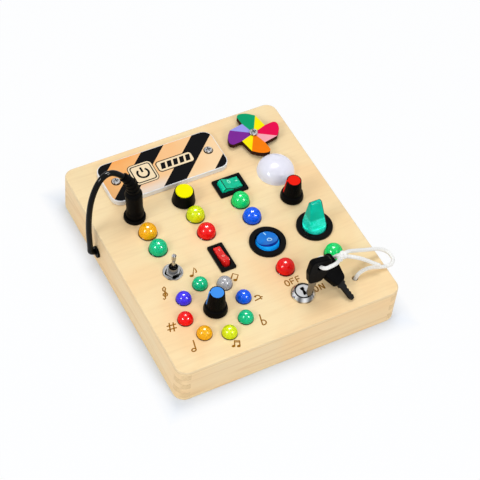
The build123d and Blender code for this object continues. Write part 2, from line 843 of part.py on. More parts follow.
def relief_plane(share):
    """Cross-section plane at a share of the strain relief's bent length."""
    angle = math.radians(RELIEF_BEND_ANGLE * share)
    side = RELIEF_BEND_R * (1 - math.cos(angle))
    rise = RELIEF_BEND_R * math.sin(angle)
    ux, uy = polar(1.0, RELIEF_HEADING)
    origin = (side * ux, side * uy, PLUG_H - PLUG_COLLAR_H + rise)
    heading = (math.sin(angle) * ux, math.sin(angle) * uy, math.cos(angle))
    upright = Plane(origin=origin, x_dir=(-uy, ux, 0), z_dir=heading)
    return Plane(plug_lean() * upright.location)


def plug_body():
    low = plug_low()
    top = PLUG_H - PLUG_COLLAR_H
    body = at(JACK_AT) * turned([
        (0, low), (PLUG_R - 0.6, low), (PLUG_R, low + 0.6), (PLUG_R, low + PLUG_COLLAR_H),
        (0, low + PLUG_COLLAR_H),
    ])
    body += plug_lean() * turned([
        (0, -1.2), (PLUG_R - 0.45, -1.2), (PLUG_R - 0.1, 0), (PLUG_NECK_R, 3.0),
        (PLUG_NECK_R + 0.3, top - 3.0), (PLUG_NECK_R - 0.4, top - 1.0), (RELIEF_R, top), (0, top),
    ])
    shares = [index / 4 for index in range(5)]
    rings = []
    for share in shares:
        radius = RELIEF_R + (RELIEF_TIP_R - RELIEF_R) * share
        rings.append(relief_plane(share) * Circle(radius - RIB_STAND))
    body += loft(rings)
    for index in range(RELIEF_RIBS):
        share = (index + 0.5) / RELIEF_RIBS
        radius = RELIEF_R + (RELIEF_TIP_R - RELIEF_R) * share
        body += extrude(relief_plane(share) * Circle(radius), amount=1.1, both=True)
    return body


def cord_route():
    tip = relief_plane(1.0)
    first = tip.origin
    lead = first + tip.z_dir * CORD_LEAD
    turn_in = (-BOARD_X / 2 - CORD_TURN_IN_X, GROMMET_AT[0], GROMMET_AT[1])
    inside = (-BOARD_X / 2 + CORD_END_INSIDE, GROMMET_AT[0], GROMMET_AT[1])
    return [(first.X, first.Y, first.Z), (lead.X, lead.Y, lead.Z), *CORD_POINTS, turn_in, inside]


def plug_cord():
    return flexible(cord_route(), CORD_R)


def cord_grommet():
    outside = -BOARD_X / 2
    flange = Pos(outside, 0, 0) * Rot(0, -90, 0) * rod(GROMMET_FLANGE_R, 0, GROMMET_FLANGE_T)
    body = Pos(outside, 0, 0) * Rot(0, 90, 0) * rod(GROMMET_R, 0, FRAME_T)
    bore = Pos(outside, 0, 0) * Rot(0, 90, 0) * rod(CORD_R, -2 * FRAME_T, 2 * FRAME_T)
    return Pos(0, GROMMET_AT[0], GROMMET_AT[1]) * (flange + body - bore)


# ---------------------------------------------------------------- knobs and what they turn
def control_body(radius, height):
    """Body under the panel with a bushing through it, bored for the shaft."""
    body = rod(radius, UNDER - height, UNDER) + rod(BUSHING_R, UNDER, TOP + BUSHING_TOP)
    body += block(12.0, 1.2, UNDER - height + 0.5, UNDER - height + 2.5, (0, -radius - 2.0))
    body += block(10.0, 4.0, UNDER - height + 0.5, UNDER - height + 1.7, (0, -radius - 0.2))
    return body - rod(SHAFT_R + RUN_GAP, SHAFT_FOOT - MOVE_GAP, TOP + BUSHING_TOP + 1)


def potentiometers():
    body = control_body(CONTROL_BODY_R, CONTROL_BODY_H)
    return [at(place) * body for place in (YELLOW_AT, RED_AT)]


def selector_switch():
    return at(BLUE_AT) * control_body(SELECTOR_BODY_R, SELECTOR_BODY_H)


def panel_nuts():
    nuts = [hexagon(BUSHING_NUT_AF, TOP, TOP + NUT_H, BUSHING_R + FIXED_GAP, place)
            for place in (YELLOW_AT, RED_AT, BLUE_AT)]
    nuts.append(hexagon(2 * JACK_BODY_R + 4.0, UNDER - NUT_H, UNDER, JACK_BODY_R + FIXED_GAP, JACK_AT))
    nuts.append(hexagon(LOCK_NUT_AF, UNDER - LOCK_NUT_H, UNDER, LOCK_BODY_R + FIXED_GAP, LOCK_AT))
    nuts.append(hexagon(2 * PIN_R + 3.4, UNDER - NUT_H, UNDER, PIN_R + FIXED_GAP, WHEEL_AT))
    return nuts


def knob_bore(height):
    foot = TOP + KNOB_LIFT
    recess = rod(KNOB_RECESS_R, foot - 1, foot + KNOB_RECESS)
    return recess + rod(SHAFT_R + FIXED_GAP, foot - 1, shaft_top(height) + FIXED_GAP)


def shaft_top(height):
    return TOP + KNOB_LIFT + height - CAP_T - 1.5


def knob_shaft(height, place):
    return rod(SHAFT_R, SHAFT_FOOT, shaft_top(height), place)


def cap_seat(radius, height):
    top = TOP + KNOB_LIFT + height
    return rod(radius + FIXED_GAP, top - CAP_T, top + 1)


def yellow_knob():
    foot = TOP + KNOB_LIFT
    body = cone(YELLOW_R, YELLOW_TOP_R, foot, foot + YELLOW_H)
    body = fillet(edges_at(body, foot + YELLOW_H), CAP_ROUND)
    return at(YELLOW_AT) * (body - knob_bore(YELLOW_H) - cap_seat(YELLOW_CAP_R, YELLOW_H))


def yellow_knob_cap():
    top = TOP + KNOB_LIFT + YELLOW_H
    cap = rod(YELLOW_CAP_R, top - CAP_T, top + YELLOW_CAP_RISE)
    return at(YELLOW_AT) * fillet(edges_at(cap, top + YELLOW_CAP_RISE), CAP_ROUND)


def grip_radius(z, height):
    low = TOP + KNOB_LIFT + SKIRT_H
    high = TOP + KNOB_LIFT + height
    return GRIP_FOOT_R + (GRIP_TOP_R - GRIP_FOOT_R) * (z - low) / (high - low)


def pointer_bar(height, stand):
    """Coloured line down the grip, a little proud of it, joined to the cap."""
    low = TOP + KNOB_LIFT + SKIRT_H + 0.8
    high = TOP + KNOB_LIFT + height
    wedge = cone(grip_radius(low, height) + stand, GRIP_TOP_R + stand, low, high)
    width = POINTER_W if stand <= POINTER_STAND else POINTER_W + 2 * FIXED_GAP
    inner = GRIP_CAP_R - 0.6 if stand <= POINTER_STAND else GRIP_CAP_R - 0.6 - FIXED_GAP
    return wedge & (Pos(inner + 5, 0, (low + high) / 2) * Box(10, width, high - low))


def grip_knob(height, pointer_angle):
    foot = TOP + KNOB_LIFT
    top = foot + height
    waist = foot + SKIRT_H
    body = turned([
        (0, foot), (SKIRT_R, foot), (SKIRT_R, foot + 1.2), (SKIRT_R - 0.7, waist - 0.6),
        (GRIP_FOOT_R, waist), (GRIP_TOP_R, top), (0, top),
    ])
    lean = math.degrees(math.atan2(GRIP_FOOT_R - GRIP_TOP_R, top - waist))
    for index in range(FLUTES):
        turn = (index + 0.5) * 360 / FLUTES
        cut = Rot(0, 0, turn) * Pos(GRIP_FOOT_R + 0.15, 0, waist + 0.6) * Rot(0, -lean, 0) * Cylinder(
            FLUTE_R, height, align=(Align.CENTER, Align.CENTER, Align.MIN)
        )
        body -= cut
    body -= knob_bore(height)
    body -= cap_seat(GRIP_CAP_R, height)
    body -= pointer_bar(height, 3 * POINTER_STAND)
    return Rot(0, 0, pointer_angle) * body


def grip_cap(height, pointer_angle):
    top = TOP + KNOB_LIFT + height
    disc = rod(GRIP_CAP_R, top - CAP_T, top)
    return Rot(0, 0, pointer_angle) * (disc + pointer_bar(height, POINTER_STAND))


# ---------------------------------------------------------------- rocker switches
def pivot_height():
    return TOP - PIVOT_DROP


def rocker_body(plan, length, trunnion_span, crest=ROCKER_CREST, face_angle=ROCKER_FACE_ANGLE):
    """Rocker in its level pose about a pivot along X at the origin, ends towards -Y and +Y."""
    radius = length / 2
    drum = Rot(0, 90, 0) * Cylinder(radius, 4 * length)
    body = extrude(plan, amount=radius + 2, both=True) & drum
    lift = radius * math.tan(math.radians(face_angle))
    side = Plane.YZ * make_face(Polyline(
        (-radius - 1, -ROCKER_DROP), (radius + 1, -ROCKER_DROP), (radius + 1, crest + lift),
        (0, crest), (-radius - 1, crest + lift), close=True,
    ))
    body &= extrude(side, amount=2 * length, both=True)
    pins = Rot(0, 90, 0) * Cylinder(TRUNNION_R, trunnion_span)
    return body + pins


def switch_housing(bezel, body, opening, length, trunnion_span):
    """Housing about the same pivot: bezel on the face, box below, room for the rocker's swing."""
    z0 = pivot_height()
    rim_low = TOP - z0
    shell = Pos(0, 0, rim_low) * extrude(bezel, BEZEL_H)
    shell = fillet(edges_at(shell, rim_low + BEZEL_H), 0.7)
    shell += Pos(0, 0, rim_low - SWITCH_DEPTH) * extrude(body, SWITCH_DEPTH)
    swing = length / 2
    corner_angle = math.degrees(math.asin(ROCKER_DROP / swing)) + ROCKER_TILT
    floor = -swing * math.sin(math.radians(min(85.0, corner_angle)))
    cavity = Pos(0, 0, floor - MOVE_GAP) * extrude(opening, 2 * SWITCH_DEPTH + length)
    shell -= cavity
    shell -= Rot(0, 90, 0) * Cylinder(TRUNNION_R + RUN_GAP, trunnion_span + 2 * MOVE_GAP)
    for y in (-TERMINAL_STAND, TERMINAL_STAND):
        x_size, y_size, z_size = TERMINAL_SIZE
        shell += Pos(0, y, rim_low - SWITCH_DEPTH - z_size / 2) * Box(y_size, x_size, z_size)
    return shell


def placed(shape, place, tilt=0.0, turn=0.0):
    """Puts a switch piece on the face, tilted about its pivot and turned about Z."""
    return at(place, pivot_height()) * Rot(0, 0, turn) * Rot(tilt, 0, 0) * shape


def slab_switch(place, turn, tilt):
    width = SLAB_ROCKER[1]
    length = SLAB_ROCKER[0]
    span = width + 2 * TRUNNION_L
    rocker = rocker_body(Rectangle(width, length), length, span)
    opening = Rectangle(width + 2 * SWITCH_GAP, length + 2 * SWITCH_GAP)
    housing = switch_housing(
        RectangleRounded(SLAB_BEZEL[1], SLAB_BEZEL[0], 0.8), Rectangle(SLAB_BODY[1], SLAB_BODY[0]),
        opening, length, span,
    )
    return placed(housing, place, 0, turn), placed(rocker, place, tilt, turn)


def pill_switch(place, turn, tilt):
    width = PILL_ROCKER[1]
    length = PILL_ROCKER[0]
    span = width + 2 * TRUNNION_L
    rocker = rocker_body(Rot(0, 0, 90) * SlotOverall(length, width), length, span)
    opening = Rot(0, 0, 90) * SlotOverall(length + 2 * PILL_GAP, width + 2 * PILL_GAP)
    housing = switch_housing(
        RectangleRounded(PILL_BEZEL[1], PILL_BEZEL[0], 0.8), Rectangle(PILL_BODY[1], PILL_BODY[0]),
        opening, length, span,
    )
    return placed(housing, place, 0, turn), placed(rocker, place, tilt, turn)


def disc_rocker(crest=ROCKER_CREST, face_angle=ROCKER_FACE_ANGLE):
    span = 2 * (DISC_ROCKER_R + TRUNNION_L)
    return rocker_body(Circle(DISC_ROCKER_R), 2 * DISC_ROCKER_R, span, crest, face_angle)


def disc_housing():
    return switch_housing(
        Circle(DISC_BEZEL_R), Circle(DISC_BODY_R), Circle(DISC_ROCKER_R + DISC_GAP),
        2 * DISC_ROCKER_R, 2 * (DISC_ROCKER_R + TRUNNION_L),
    )


def tapered(foot_w, top_w, foot, top):
    return make_face(Polyline(
        (-foot_w / 2, foot), (foot_w / 2, foot), (top_w / 2, top), (-top_w / 2, top), close=True,
    ))


def fin():
    """Tall duckbill of the teal lever, level pose, on the rocker's crest."""
    foot = FIN_CREST - 1.0
    top = foot + FIN_H
    front = Plane.XZ * tapered(FIN_FOOT_X, FIN_TOP_X, foot, top)
    side = Plane.YZ * tapered(FIN_FOOT_Y, FIN_TOP_Y, foot, top)
    body = extrude(front, amount=FIN_H, both=True) & extrude(side, amount=FIN_H, both=True)
    upper = [e for e in body.edges() if e.center().Z > foot + 1]
    return fillet(upper, FIN_ROUND) & Cylinder(DISC_ROCKER_R, 4 * FIN_H)


def teal_lever():
    return disc_rocker(FIN_CREST, FIN_FACE_ANGLE) + fin()


# ---------------------------------------------------------------- toggle switch
def toggle_body():
    size_x, size_y, size_z = TOGGLE_BODY
    body = block(size_x, size_y, UNDER - size_z, UNDER)
    body += rod(TOGGLE_BUSHING_R, UNDER, TOP + TOGGLE_BUSHING_TOP)
    for x in (-4.0, 0.0, 4.0):
        body += block(0.8, 2.0, UNDER - size_z - 4.0, UNDER - size_z, (x, 0))
    ball_z = toggle_pivot()
    socket = Pos(0, 0, ball_z) * Sphere(LEVER_BALL_R + RUN_GAP)
    bushing_top = TOP + TOGGLE_BUSHING_TOP
    throat_r = LEVER_R + MOVE_GAP + (bushing_top - ball_z) * math.tan(math.radians(LEVER_SWEEP))
    throat = cone(LEVER_R + MOVE_GAP, min(throat_r, TOGGLE_BUSHING_R - 0.3), ball_z, bushing_top)
    below = rod(LEVER_BALL_R + RUN_GAP, UNDER - 5.0, ball_z)
    return at(TOGGLE_AT) * (body - socket - throat - below)


def toggle_pivot():
    return TOP + TOGGLE_BUSHING_TOP - 3.0


def toggle_nut():
    washer = tube(TOGGLE_WASHER_R, TOGGLE_BUSHING_R + FIXED_GAP, TOP, TOP + TOGGLE_WASHER_H, TOGGLE_AT)
    low = TOP + TOGGLE_WASHER_H
    nut = hexagon(TOGGLE_NUT_AF, low, low + TOGGLE_NUT_H, TOGGLE_BUSHING_R + FIXED_GAP, TOGGLE_AT)
    return [washer, nut]


def toggle_lever():
    ball_z = toggle_pivot()
    lever = turned([
        (0, ball_z), (LEVER_R, ball_z), (LEVER_R, TOP + LEVER_H - 6.0),
        (LEVER_TIP_R, TOP + LEVER_H - 4.5), (LEVER_TIP_R, TOP + LEVER_H - 0.7),
        (LEVER_TIP_R - 0.7, TOP + LEVER_H), (0, TOP + LEVER_H),
    ])
    foot = rod(0.9, ball_z - 4.0, ball_z)
    return at(TOGGLE_AT) * (lever + Pos(0, 0, ball_z) * Sphere(LEVER_BALL_R) + foot)


# ---------------------------------------------------------------- key lock, keys and string
def core_top():
    return TOP + LOCK_BEZEL_H - CORE_SINK


def lock_housing():
    foot = TOP - LOCK_DEPTH
    shell = turned([
        (0, foot), (LOCK_BODY_R, foot), (LOCK_BODY_R, TOP), (LOCK_BEZEL_R, TOP), (LOCK_BEZEL_R, TOP + 0.7),
        (LOCK_BEZEL_R - 0.5, TOP + 1.7), (LOCK_FACE_R, TOP + LOCK_BEZEL_H), (0, TOP + LOCK_BEZEL_H),
    ])
    bore = rod(CORE_R + RUN_GAP, foot + CORE_FLOOR, TOP + LOCK_BEZEL_H + 1)
    lugs = block(0.8, 2.6, foot - 4.0, foot, (-3.0, 0)) + block(0.8, 2.6, foot - 4.0, foot, (3.0, 0))
    return at(LOCK_AT) * (shell - bore + lugs)


def lock_cylinder():
    low = TOP - LOCK_DEPTH + CORE_FLOOR + MOVE_GAP
    core = rod(CORE_R, low, core_top())
    slot_low = core_top() - KEYWAY_DEPTH
    third = KEYWAY_L / 3
    core -= block(KEYWAY_W, KEYWAY_L, slot_low, core_top() + 1)
    for y in (-third, third):
        core -= block(KEYWAY_END_W, third, slot_low, core_top() + 1, (0, y))
    return at(LOCK_AT) * core


def key_plane(tip, heading, rise, floor, roll=0.0):
    """Plane of a key, origin in its string hole, Y away from the tip, Z out of the head's face."""
    up = math.radians(rise)
    ux, uy = polar(math.cos(up), heading)
    along = Vector(ux, uy, math.sin(up))
    face = Vector(1, 0, 0).cross(along).normalized().rotate(Axis((0, 0, 0), tuple(along)), roll)
    droop = abs(face.Z) * KEY_BLADE_T / 2 + abs(along.cross(face).Z) * KEY_TIP_W / 2
    origin = Vector(tip[0], tip[1], floor + KEY_TIP_GAP + droop) + along * KEY_REACH
    return Plane(origin=origin, x_dir=along.cross(face), z_dir=face)


def key_one_plane():
    return key_plane(KEY_ONE_TIP, KEY_ONE_HEADING, KEY_ONE_RISE, TOP + LOCK_BEZEL_H)


def key_two_plane():
    return key_plane(KEY_TWO_TIP, KEY_TWO_HEADING, KEY_TWO_RISE, TOP, KEY_TWO_ROLL)


def key_head(plane):
    half_top = KEY_HEAD_W / 2
    half_foot = KEY_HEAD_FOOT_W / 2
    outline = make_face(Polyline(
        (-half_foot, -KEY_HEAD_BELOW), (half_foot, -KEY_HEAD_BELOW), (half_top, -KEY_HEAD_BELOW / 3),
        (half_top, KEY_HEAD_ABOVE), (-half_top, KEY_HEAD_ABOVE), (-half_top, -KEY_HEAD_BELOW / 3),
        close=True,
    ))
    outline = fillet(outline.vertices(), KEY_ROUND)
    head = extrude(outline, amount=KEY_HEAD_T / 2, both=True)
    rims = [e for e in head.edges() if abs(abs(e.center().Z) - KEY_HEAD_T / 2) < 0.01]
    head = fillet(rims, KEY_RIM_ROUND)
    head -= Cylinder(KEY_HOLE_R, 2 * KEY_HEAD_T)
    head -= Pos(0, -KEY_HEAD_BELOW, 0) * Box(
        KEY_BLADE_W + 2 * FIXED_GAP, 2 * KEY_SOCKET, KEY_BLADE_T + 2 * FIXED_GAP
    )
    return plane * head


def key_blade(plane):
    half = KEY_BLADE_W / 2
    half_tip = KEY_TIP_W / 2
    root = -KEY_HEAD_BELOW + KEY_SOCKET - FIXED_GAP
    end = -KEY_REACH
    edge = [(half, root), (half, end + KEY_CUT_FIRST)]
    for index in range(KEY_CUTS):
        y = end + KEY_CUT_FIRST - KEY_CUT_PITCH * index
        floor = half - KEY_CUT_DEPTH
        edge += [(floor, y - 0.3 * KEY_CUT_PITCH), (floor, y - 0.55 * KEY_CUT_PITCH)]
        edge.append((half - KEY_CUT_DEPTH / 4, y - 0.85 * KEY_CUT_PITCH))
    edge += [(half_tip, end), (-half_tip, end), (-half, end + KEY_TIP_W), (-half, root)]
    blade = extrude(make_face(Polyline(*edge, close=True)), amount=KEY_BLADE_T / 2, both=True)
    shoulder = Pos(0, -KEY_HEAD_BELOW - KEY_SHOULDER_H / 2, 0) * Box(
        KEY_BLADE_W + 2 * KEY_SHOULDER, KEY_SHOULDER_H, KEY_BLADE_T
    )
    return plane * (blade + shoulder)


def key_string():
    return flexible(STRING_POINTS, STRING_R)


def key_loop():
    return flexible(LOOP_POINTS, STRING_R)


def key_string_knot(string, loop):
    """The knot round the strands and the stopper knot under the panel."""
    stopper = Pos(*STRING_POINTS[0]) * Sphere(STOPPER_R) - string
    knot = Pos(*KNOT_AT) * Sphere(KNOT_R) - string - loop
    return [knot, stopper]


# ---------------------------------------------------------------- all pieces
def pieces():
    green_housing, green_rocker = slab_switch(GREEN_AT, -90, -ROCKER_TILT)
    red_housing, red_rocker = pill_switch(RED_SWITCH_AT, 0, -ROCKER_TILT)
    disc = disc_housing()
    key_one = key_one_plane()
    key_two = key_two_plane()
    string = key_string()
    loop = key_loop()
    made = {"top_panel": top_panel(), "bottom_panel": bottom_panel(), **frame_boards()}
    made |= {
        "base_screws": base_screws(),
        "battery_case": battery_case(),
        "battery_cells": battery_cells(),
        "battery_contacts": battery_contacts(),
        "battery_cover": battery_cover(),
        "circuit_board": circuit_board(),
        "wiring": wiring(),
        "sign_plate": sign_plate(),
        "sign_screws": sign_screws(),
        "pinwheel": pinwheel(),
        "pinwheel_spacer": pinwheel_spacer(),
        "pinwheel_pin": pinwheel_pin(),
        "dome_lamp": dome_lamp(),
        "dome_lamp_board": dome_lamp_board(),
        "large_lamp_caps": large_lamp_caps(),
        "small_lamp_caps": small_lamp_caps(),
        "lamp_leds": lamp_leds(),
        "jack_socket": jack_socket(),
        "plug_body": plug_body(),
        "plug_barrel": plug_barrel(),
        "plug_cord": plug_cord(),
        "cord_grommet": cord_grommet(),
        "potentiometers": potentiometers(),
        "selector_switch": selector_switch(),
        "panel_nuts": panel_nuts(),
        "yellow_knob": yellow_knob(),
        "yellow_knob_cap": yellow_knob_cap(),
        "yellow_shaft": knob_shaft(YELLOW_H, YELLOW_AT),
        "red_knob": at(RED_AT) * grip_knob(RED_H, RED_POINTER_ANGLE),
        "red_knob_cap": at(RED_AT) * grip_cap(RED_H, RED_POINTER_ANGLE),
        "red_shaft": knob_shaft(RED_H, RED_AT),
        "blue_knob": at(BLUE_AT) * grip_knob(BLUE_H, BLUE_POINTER_ANGLE),
        "blue_knob_cap": at(BLUE_AT) * grip_cap(BLUE_H, BLUE_POINTER_ANGLE),
        "blue_shaft": knob_shaft(BLUE_H, BLUE_AT),
        "green_switch_housing": green_housing,
        "green_switch_rocker": green_rocker,
        "red_switch_housing": red_housing,
        "red_switch_rocker": red_rocker,
        "blue_switch_housing": placed(disc, BLUE_SWITCH_AT),
        "blue_switch_rocker": placed(disc_rocker(), BLUE_SWITCH_AT, -ROCKER_TILT),
        "teal_switch_housing": placed(disc, TEAL_AT),
        "teal_switch_lever": placed(teal_lever(), TEAL_AT, -FIN_TILT),
        "toggle_body": toggle_body(),
        "toggle_nut": toggle_nut(),
        "toggle_lever": toggle_lever(),
        "lock_housing": lock_housing(),
        "lock_cylinder": lock_cylinder(),
        "key_one_head": key_head(key_one),
        "key_one_blade": key_blade(key_one),
        "key_two_head": key_head(key_two),
        "key_two_blade": key_blade(key_two),
        "key_string": string,
        "key_loop": loop,
        "key_string_knot": key_string_knot(string, loop),
    }
    return made


def write(name, shape):
    solids = [s for item in (shape if isinstance(shape, list) else [shape]) for s in item.solids()]
    node = solids[0] if len(solids) == 1 else Compound(children=solids)
    node.label = name
    export_step(node, f"parts/{name}.step")


os.makedirs("parts", exist_ok=True)
for node_name, node_shape in pieces().items():
    write(node_name, node_shape)
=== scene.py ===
"""Looks of a wooden busy board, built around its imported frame.

Lengths are millimetres until a piece is finished, when its mesh is scaled to metres.
X runs right along the front edge, Y to the back and Z up, from the middle of the base.
"""

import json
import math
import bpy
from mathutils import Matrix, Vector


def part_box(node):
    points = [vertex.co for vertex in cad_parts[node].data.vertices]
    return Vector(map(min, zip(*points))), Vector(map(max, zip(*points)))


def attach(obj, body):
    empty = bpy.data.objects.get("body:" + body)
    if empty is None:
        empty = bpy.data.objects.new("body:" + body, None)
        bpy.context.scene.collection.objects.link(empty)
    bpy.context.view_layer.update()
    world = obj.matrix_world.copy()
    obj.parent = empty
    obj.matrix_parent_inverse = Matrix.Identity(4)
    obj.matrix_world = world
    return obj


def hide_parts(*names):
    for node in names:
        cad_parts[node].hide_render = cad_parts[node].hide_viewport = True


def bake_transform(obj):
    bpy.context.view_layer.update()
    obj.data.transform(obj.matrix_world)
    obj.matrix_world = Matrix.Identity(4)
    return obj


bl_info = {
    "name": "Wooden Busy Board",
    "version": (1, 0, 0),
    "blender": (4, 5, 0),
    "location": "View3D > Sidebar > Busy Board",
    "description": "Dresses the busy board with its wood, lamps, switches, knobs, keys and cords",
    "category": "Add Mesh",
}

import bmesh
import bpy
from bpy.props import FloatProperty, FloatVectorProperty, IntProperty, PointerProperty
from mathutils import Matrix, Vector

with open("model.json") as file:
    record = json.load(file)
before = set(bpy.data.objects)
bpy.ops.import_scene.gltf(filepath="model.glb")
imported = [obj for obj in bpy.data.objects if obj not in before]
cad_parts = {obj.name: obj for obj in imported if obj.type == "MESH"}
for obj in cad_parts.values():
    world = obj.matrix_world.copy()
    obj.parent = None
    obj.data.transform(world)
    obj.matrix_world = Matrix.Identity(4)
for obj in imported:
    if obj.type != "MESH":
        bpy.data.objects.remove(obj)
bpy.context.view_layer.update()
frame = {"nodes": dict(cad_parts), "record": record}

MM = 0.001


def node_box(node):
    """Lowest and highest corner of a node, in millimetres."""
    low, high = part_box(node)
    return low / MM, high / MM


def node_centre(node):
    low, high = node_box(node)
    return (low + high) / 2


TOP = node_box("top_panel")[1].z
BOARD_X = node_box("top_panel")[1].x * 2
BOARD_Y = node_box("top_panel")[1].y * 2

# ---------------------------------------------------------------- finger joints
FINGER_ROWS = 5
MIDDLE_PLY_DEPTH = 1.6
FINGERS_LOW = node_box("frame_left")[0].z
FINGER_HEIGHT = (node_box("frame_left")[1].z - FINGERS_LOW) / FINGER_ROWS

# ---------------------------------------------------------------- lamps and wheel
LARGE_CAP_RIM = 1.8
LARGE_STEM_R = 4.2
LARGE_DOME_INSET = 0.42
SMALL_CAP_RIM = 1.0
SMALL_STEM_R = 3.6
SMALL_DOME_INSET = 0.2
LAMP_FLANGE_H = 0.95
FLANGE_EASE = 0.15
# Darkening of a lamp's colour on its stem and flange: painted shade at the lamp's foot.
LAMP_FOOT_PAINTED_SHADE = 0.14
STEM_DEPTH = 6.0
LED_BORE_R = 2.6
LED_BORE_TOP = 2.1
LARGE_LAMP_COLOURS = ("orange", "emerald", "lime", "red", "green", "blue", "red", "green")
RING_LAMP_COLOURS = ("blue", "clear", "emerald", "violet", "red", "orange", "lime", "emerald")
DOME_RIM_H = 0.9
DOME_WALL = 1.3
WHEEL_PETAL_START = -31.7
WHEEL_PETAL_END = 17.7
WHEEL_BLADES = (
    ("crimson", "pink"),
    ("green", "yellow"),
    ("purple", "lavender"),
    ("orange", "yellow"),
)

# ---------------------------------------------------------------- cords
CORD_R = 2.0
CORD_POINTS = (
    (-74.5, 31.7, 12.0),
    (-85.1, 31.7, 12.0),
    (-85.2, 32.0, 19.6),
    (-85.6, 32.6, 28.0),
    (-85.8, 33.3, 38.0),
    (-85.2, 34.1, 50.5),
    (-83.6, 35.0, 61.5),
    (-80.6, 36.0, 70.6),
    (-76.4, 37.2, 77.2),
    (-71.0, 38.3, 79.8),
    (-64.87, 38.69, 77.7),
    (-60.16, 37.23, 72.73),
)
STRING_R = 1.3
STRING_POINTS = (
    (56.5, -68.7, 24.4),
    (56.7, -68.7, 31.6),
    (61.0, -68.2, 34.9),
    (68.0, -67.9, 34.7),
    (76.0, -69.9, 33.0),
    (82.8, -70.4, 32.0),
    (87.0, -66.2, 31.9),
    (85.6, -60.0, 33.2),
    (79.6, -57.5, 36.2),
    (69.5, -57.9, 40.5),
    (59.5, -59.6, 47.0),
    (52.6, -61.0, 51.8),
    (48.8, -62.3, 53.2),
)
LOOP_POINTS = (
    (44.0, -64.3, 53.6),
    (40.0, -69.5, 57.5),
    (34.0, -73.4, 62.3),
    (25.8, -73.4, 61.4),
    (25.7, -64.8, 60.7),
    (33.0, -61.5, 57.5),
    (38.6, -64.2, 49.9),
    (35.4, -60.2, 42.3),
    (38.4, -57.7, 41.4),
    (44.1, -56.0, 42.2),
    (46.6, -57.6, 45.7),
    (47.7, -59.7, 48.9),
    (48.4, -61.8, 50.0),
    (54.8, -65.6, 49.9),
    (61.0, -66.6, 45.8),
    (67.0, -67.9, 40.8),
    (72.8, -70.5, 37.2),
)
KNOT_AT = (46.4, -63.2, 52.4)
KNOT_R = 3.8
STOPPER_R = 2.8
STOPPER_STRAND_R = STRING_R * 0.75
KNOT_STEPS = 120
STRAND_MAP = "Strand"
STRAND_PITCH = 4.0
STRAND_TURNS = 4

# ---------------------------------------------------------------- sign
SIGN_R = 7.0
STRIPE_ANGLE = 42.0
STRIPE_FIRST = (-24.2, 48.1)
STRIPE_WIDTH = 17.0
STRIPE_PERIOD = 38.2
PRINT_T = 0.06
PRINT_INSET = 0.6
BADGE_AT = (-32.0, 64.2)
BADGE_SIZE = 15.0
GAUGE_AT = (-8.0, 64.6)
GAUGE_SIZE = (27.0, 9.6)
GAUGE_BARS = 5
# growth of the side, corner radius, foot and head in print thicknesses; dark and pale by turns
BADGE_LAYERS = ((3.0, 3.4, 0, 1), (2.0, 3.0, 1, 1.5), (0.0, 2.2, 1.5, 2), (-1.6, 1.6, 2, 2.5))
GAUGE_MARGIN = 2.0
BAR_HALF_H = 2.6
BAR_FOOT = (0.3, -1.1)
BAR_HEAD = (1.7, 0.3)
SCREW_SHADE_R = 3.3
SCREW_SHADE_T = 0.05
CORNER_STEPS = 8

# ---------------------------------------------------------------- burnt marks
MARK_T = 0.05
MARK_LINE = 0.9
NOTE_TILT = 18.0
OVAL_STEPS = 16

# ---------------------------------------------------------------- switches
ROCKER_CREST = 3.1
ROCKER_FACE_ANGLE = 12.0
ROCKER_TILT = 12.5
ROCKER_DROP = 5.0
TRUNNION_L = 0.9
ROCKER_MARK_LINE = 0.65
ROCKER_EASE = 0.4
BUSHING_SHADE_DEPTH = 1.0
LEVER_EDGE_SHADE_FROM = 9.0
LEVER_EDGE_AREA = 3.0
LEVER_LIT_LOW = 9.6
LEVER_LIT_HIGH = 11.0

# ---------------------------------------------------------------- floor
FLOOR_R = 1500.0
FLOOR_GAP = 0.2

# ---------------------------------------------------------------- lock
CORE_RIM = 0.2
KEYWAY_FROM = 0.5

# ---------------------------------------------------------------- meshing
DRAWN_SHARP = 60.0
FACING_UP = 0.9
MERGE_DIST = 0.0005
CUT_DIST = 0.0001


# ---------------------------------------------------------------- colours
def paint(red, green, blue):
    """Linear colour, with alpha, of an sRGB one given in 0 to 255."""
    linear = []
    for value in (red, green, blue):
        share = value / 255
        linear.append(share / 12.92 if share <= 0.04045 else ((share + 0.055) / 1.055) ** 2.4)
    return (*linear, 1.0)


LAMP_COLOURS = {
    "orange": paint(255, 182, 6),
    "emerald": paint(2, 200, 138),
    "lime": paint(222, 240, 8),
    "red": paint(252, 4, 6),
    "green": paint(12, 224, 114),
    "blue": paint(0, 96, 254),
    "violet": paint(68, 52, 246),
    "clear": paint(176, 176, 180),
}
WHEEL_COLOURS = {
    "crimson": paint(236, 0, 78),
    "pink": paint(252, 172, 184),
    "orange": paint(252, 128, 0),
    "yellow": paint(255, 240, 0),
    "purple": paint(126, 40, 152),
    "lavender": paint(158, 160, 240),
    "green": paint(0, 162, 108),
}


# ---------------------------------------------------------------- settings
class BusyBoardCamera(bpy.types.PropertyGroup):
    azimuth: FloatProperty(
        name="Azimuth", description="Turn of the camera round the board, in degrees", default=-33.01
    )
    elevation: FloatProperty(name="Elevation", description="Height above the horizon, in degrees", default=51.65)
    roll: FloatProperty(name="Roll", description="Tilt of the picture, in degrees", default=-7.0)
    target: FloatVectorProperty(
        name="Target", description="Point looked at, in millimetres", default=(15.75, 9.68, 0.0), subtype="XYZ"
    )
    distance: FloatProperty(name="Distance", description="Distance to the target, in millimetres", default=1124.1)
    lens: FloatProperty(name="Lens", description="Focal length, in millimetres", default=124.46)


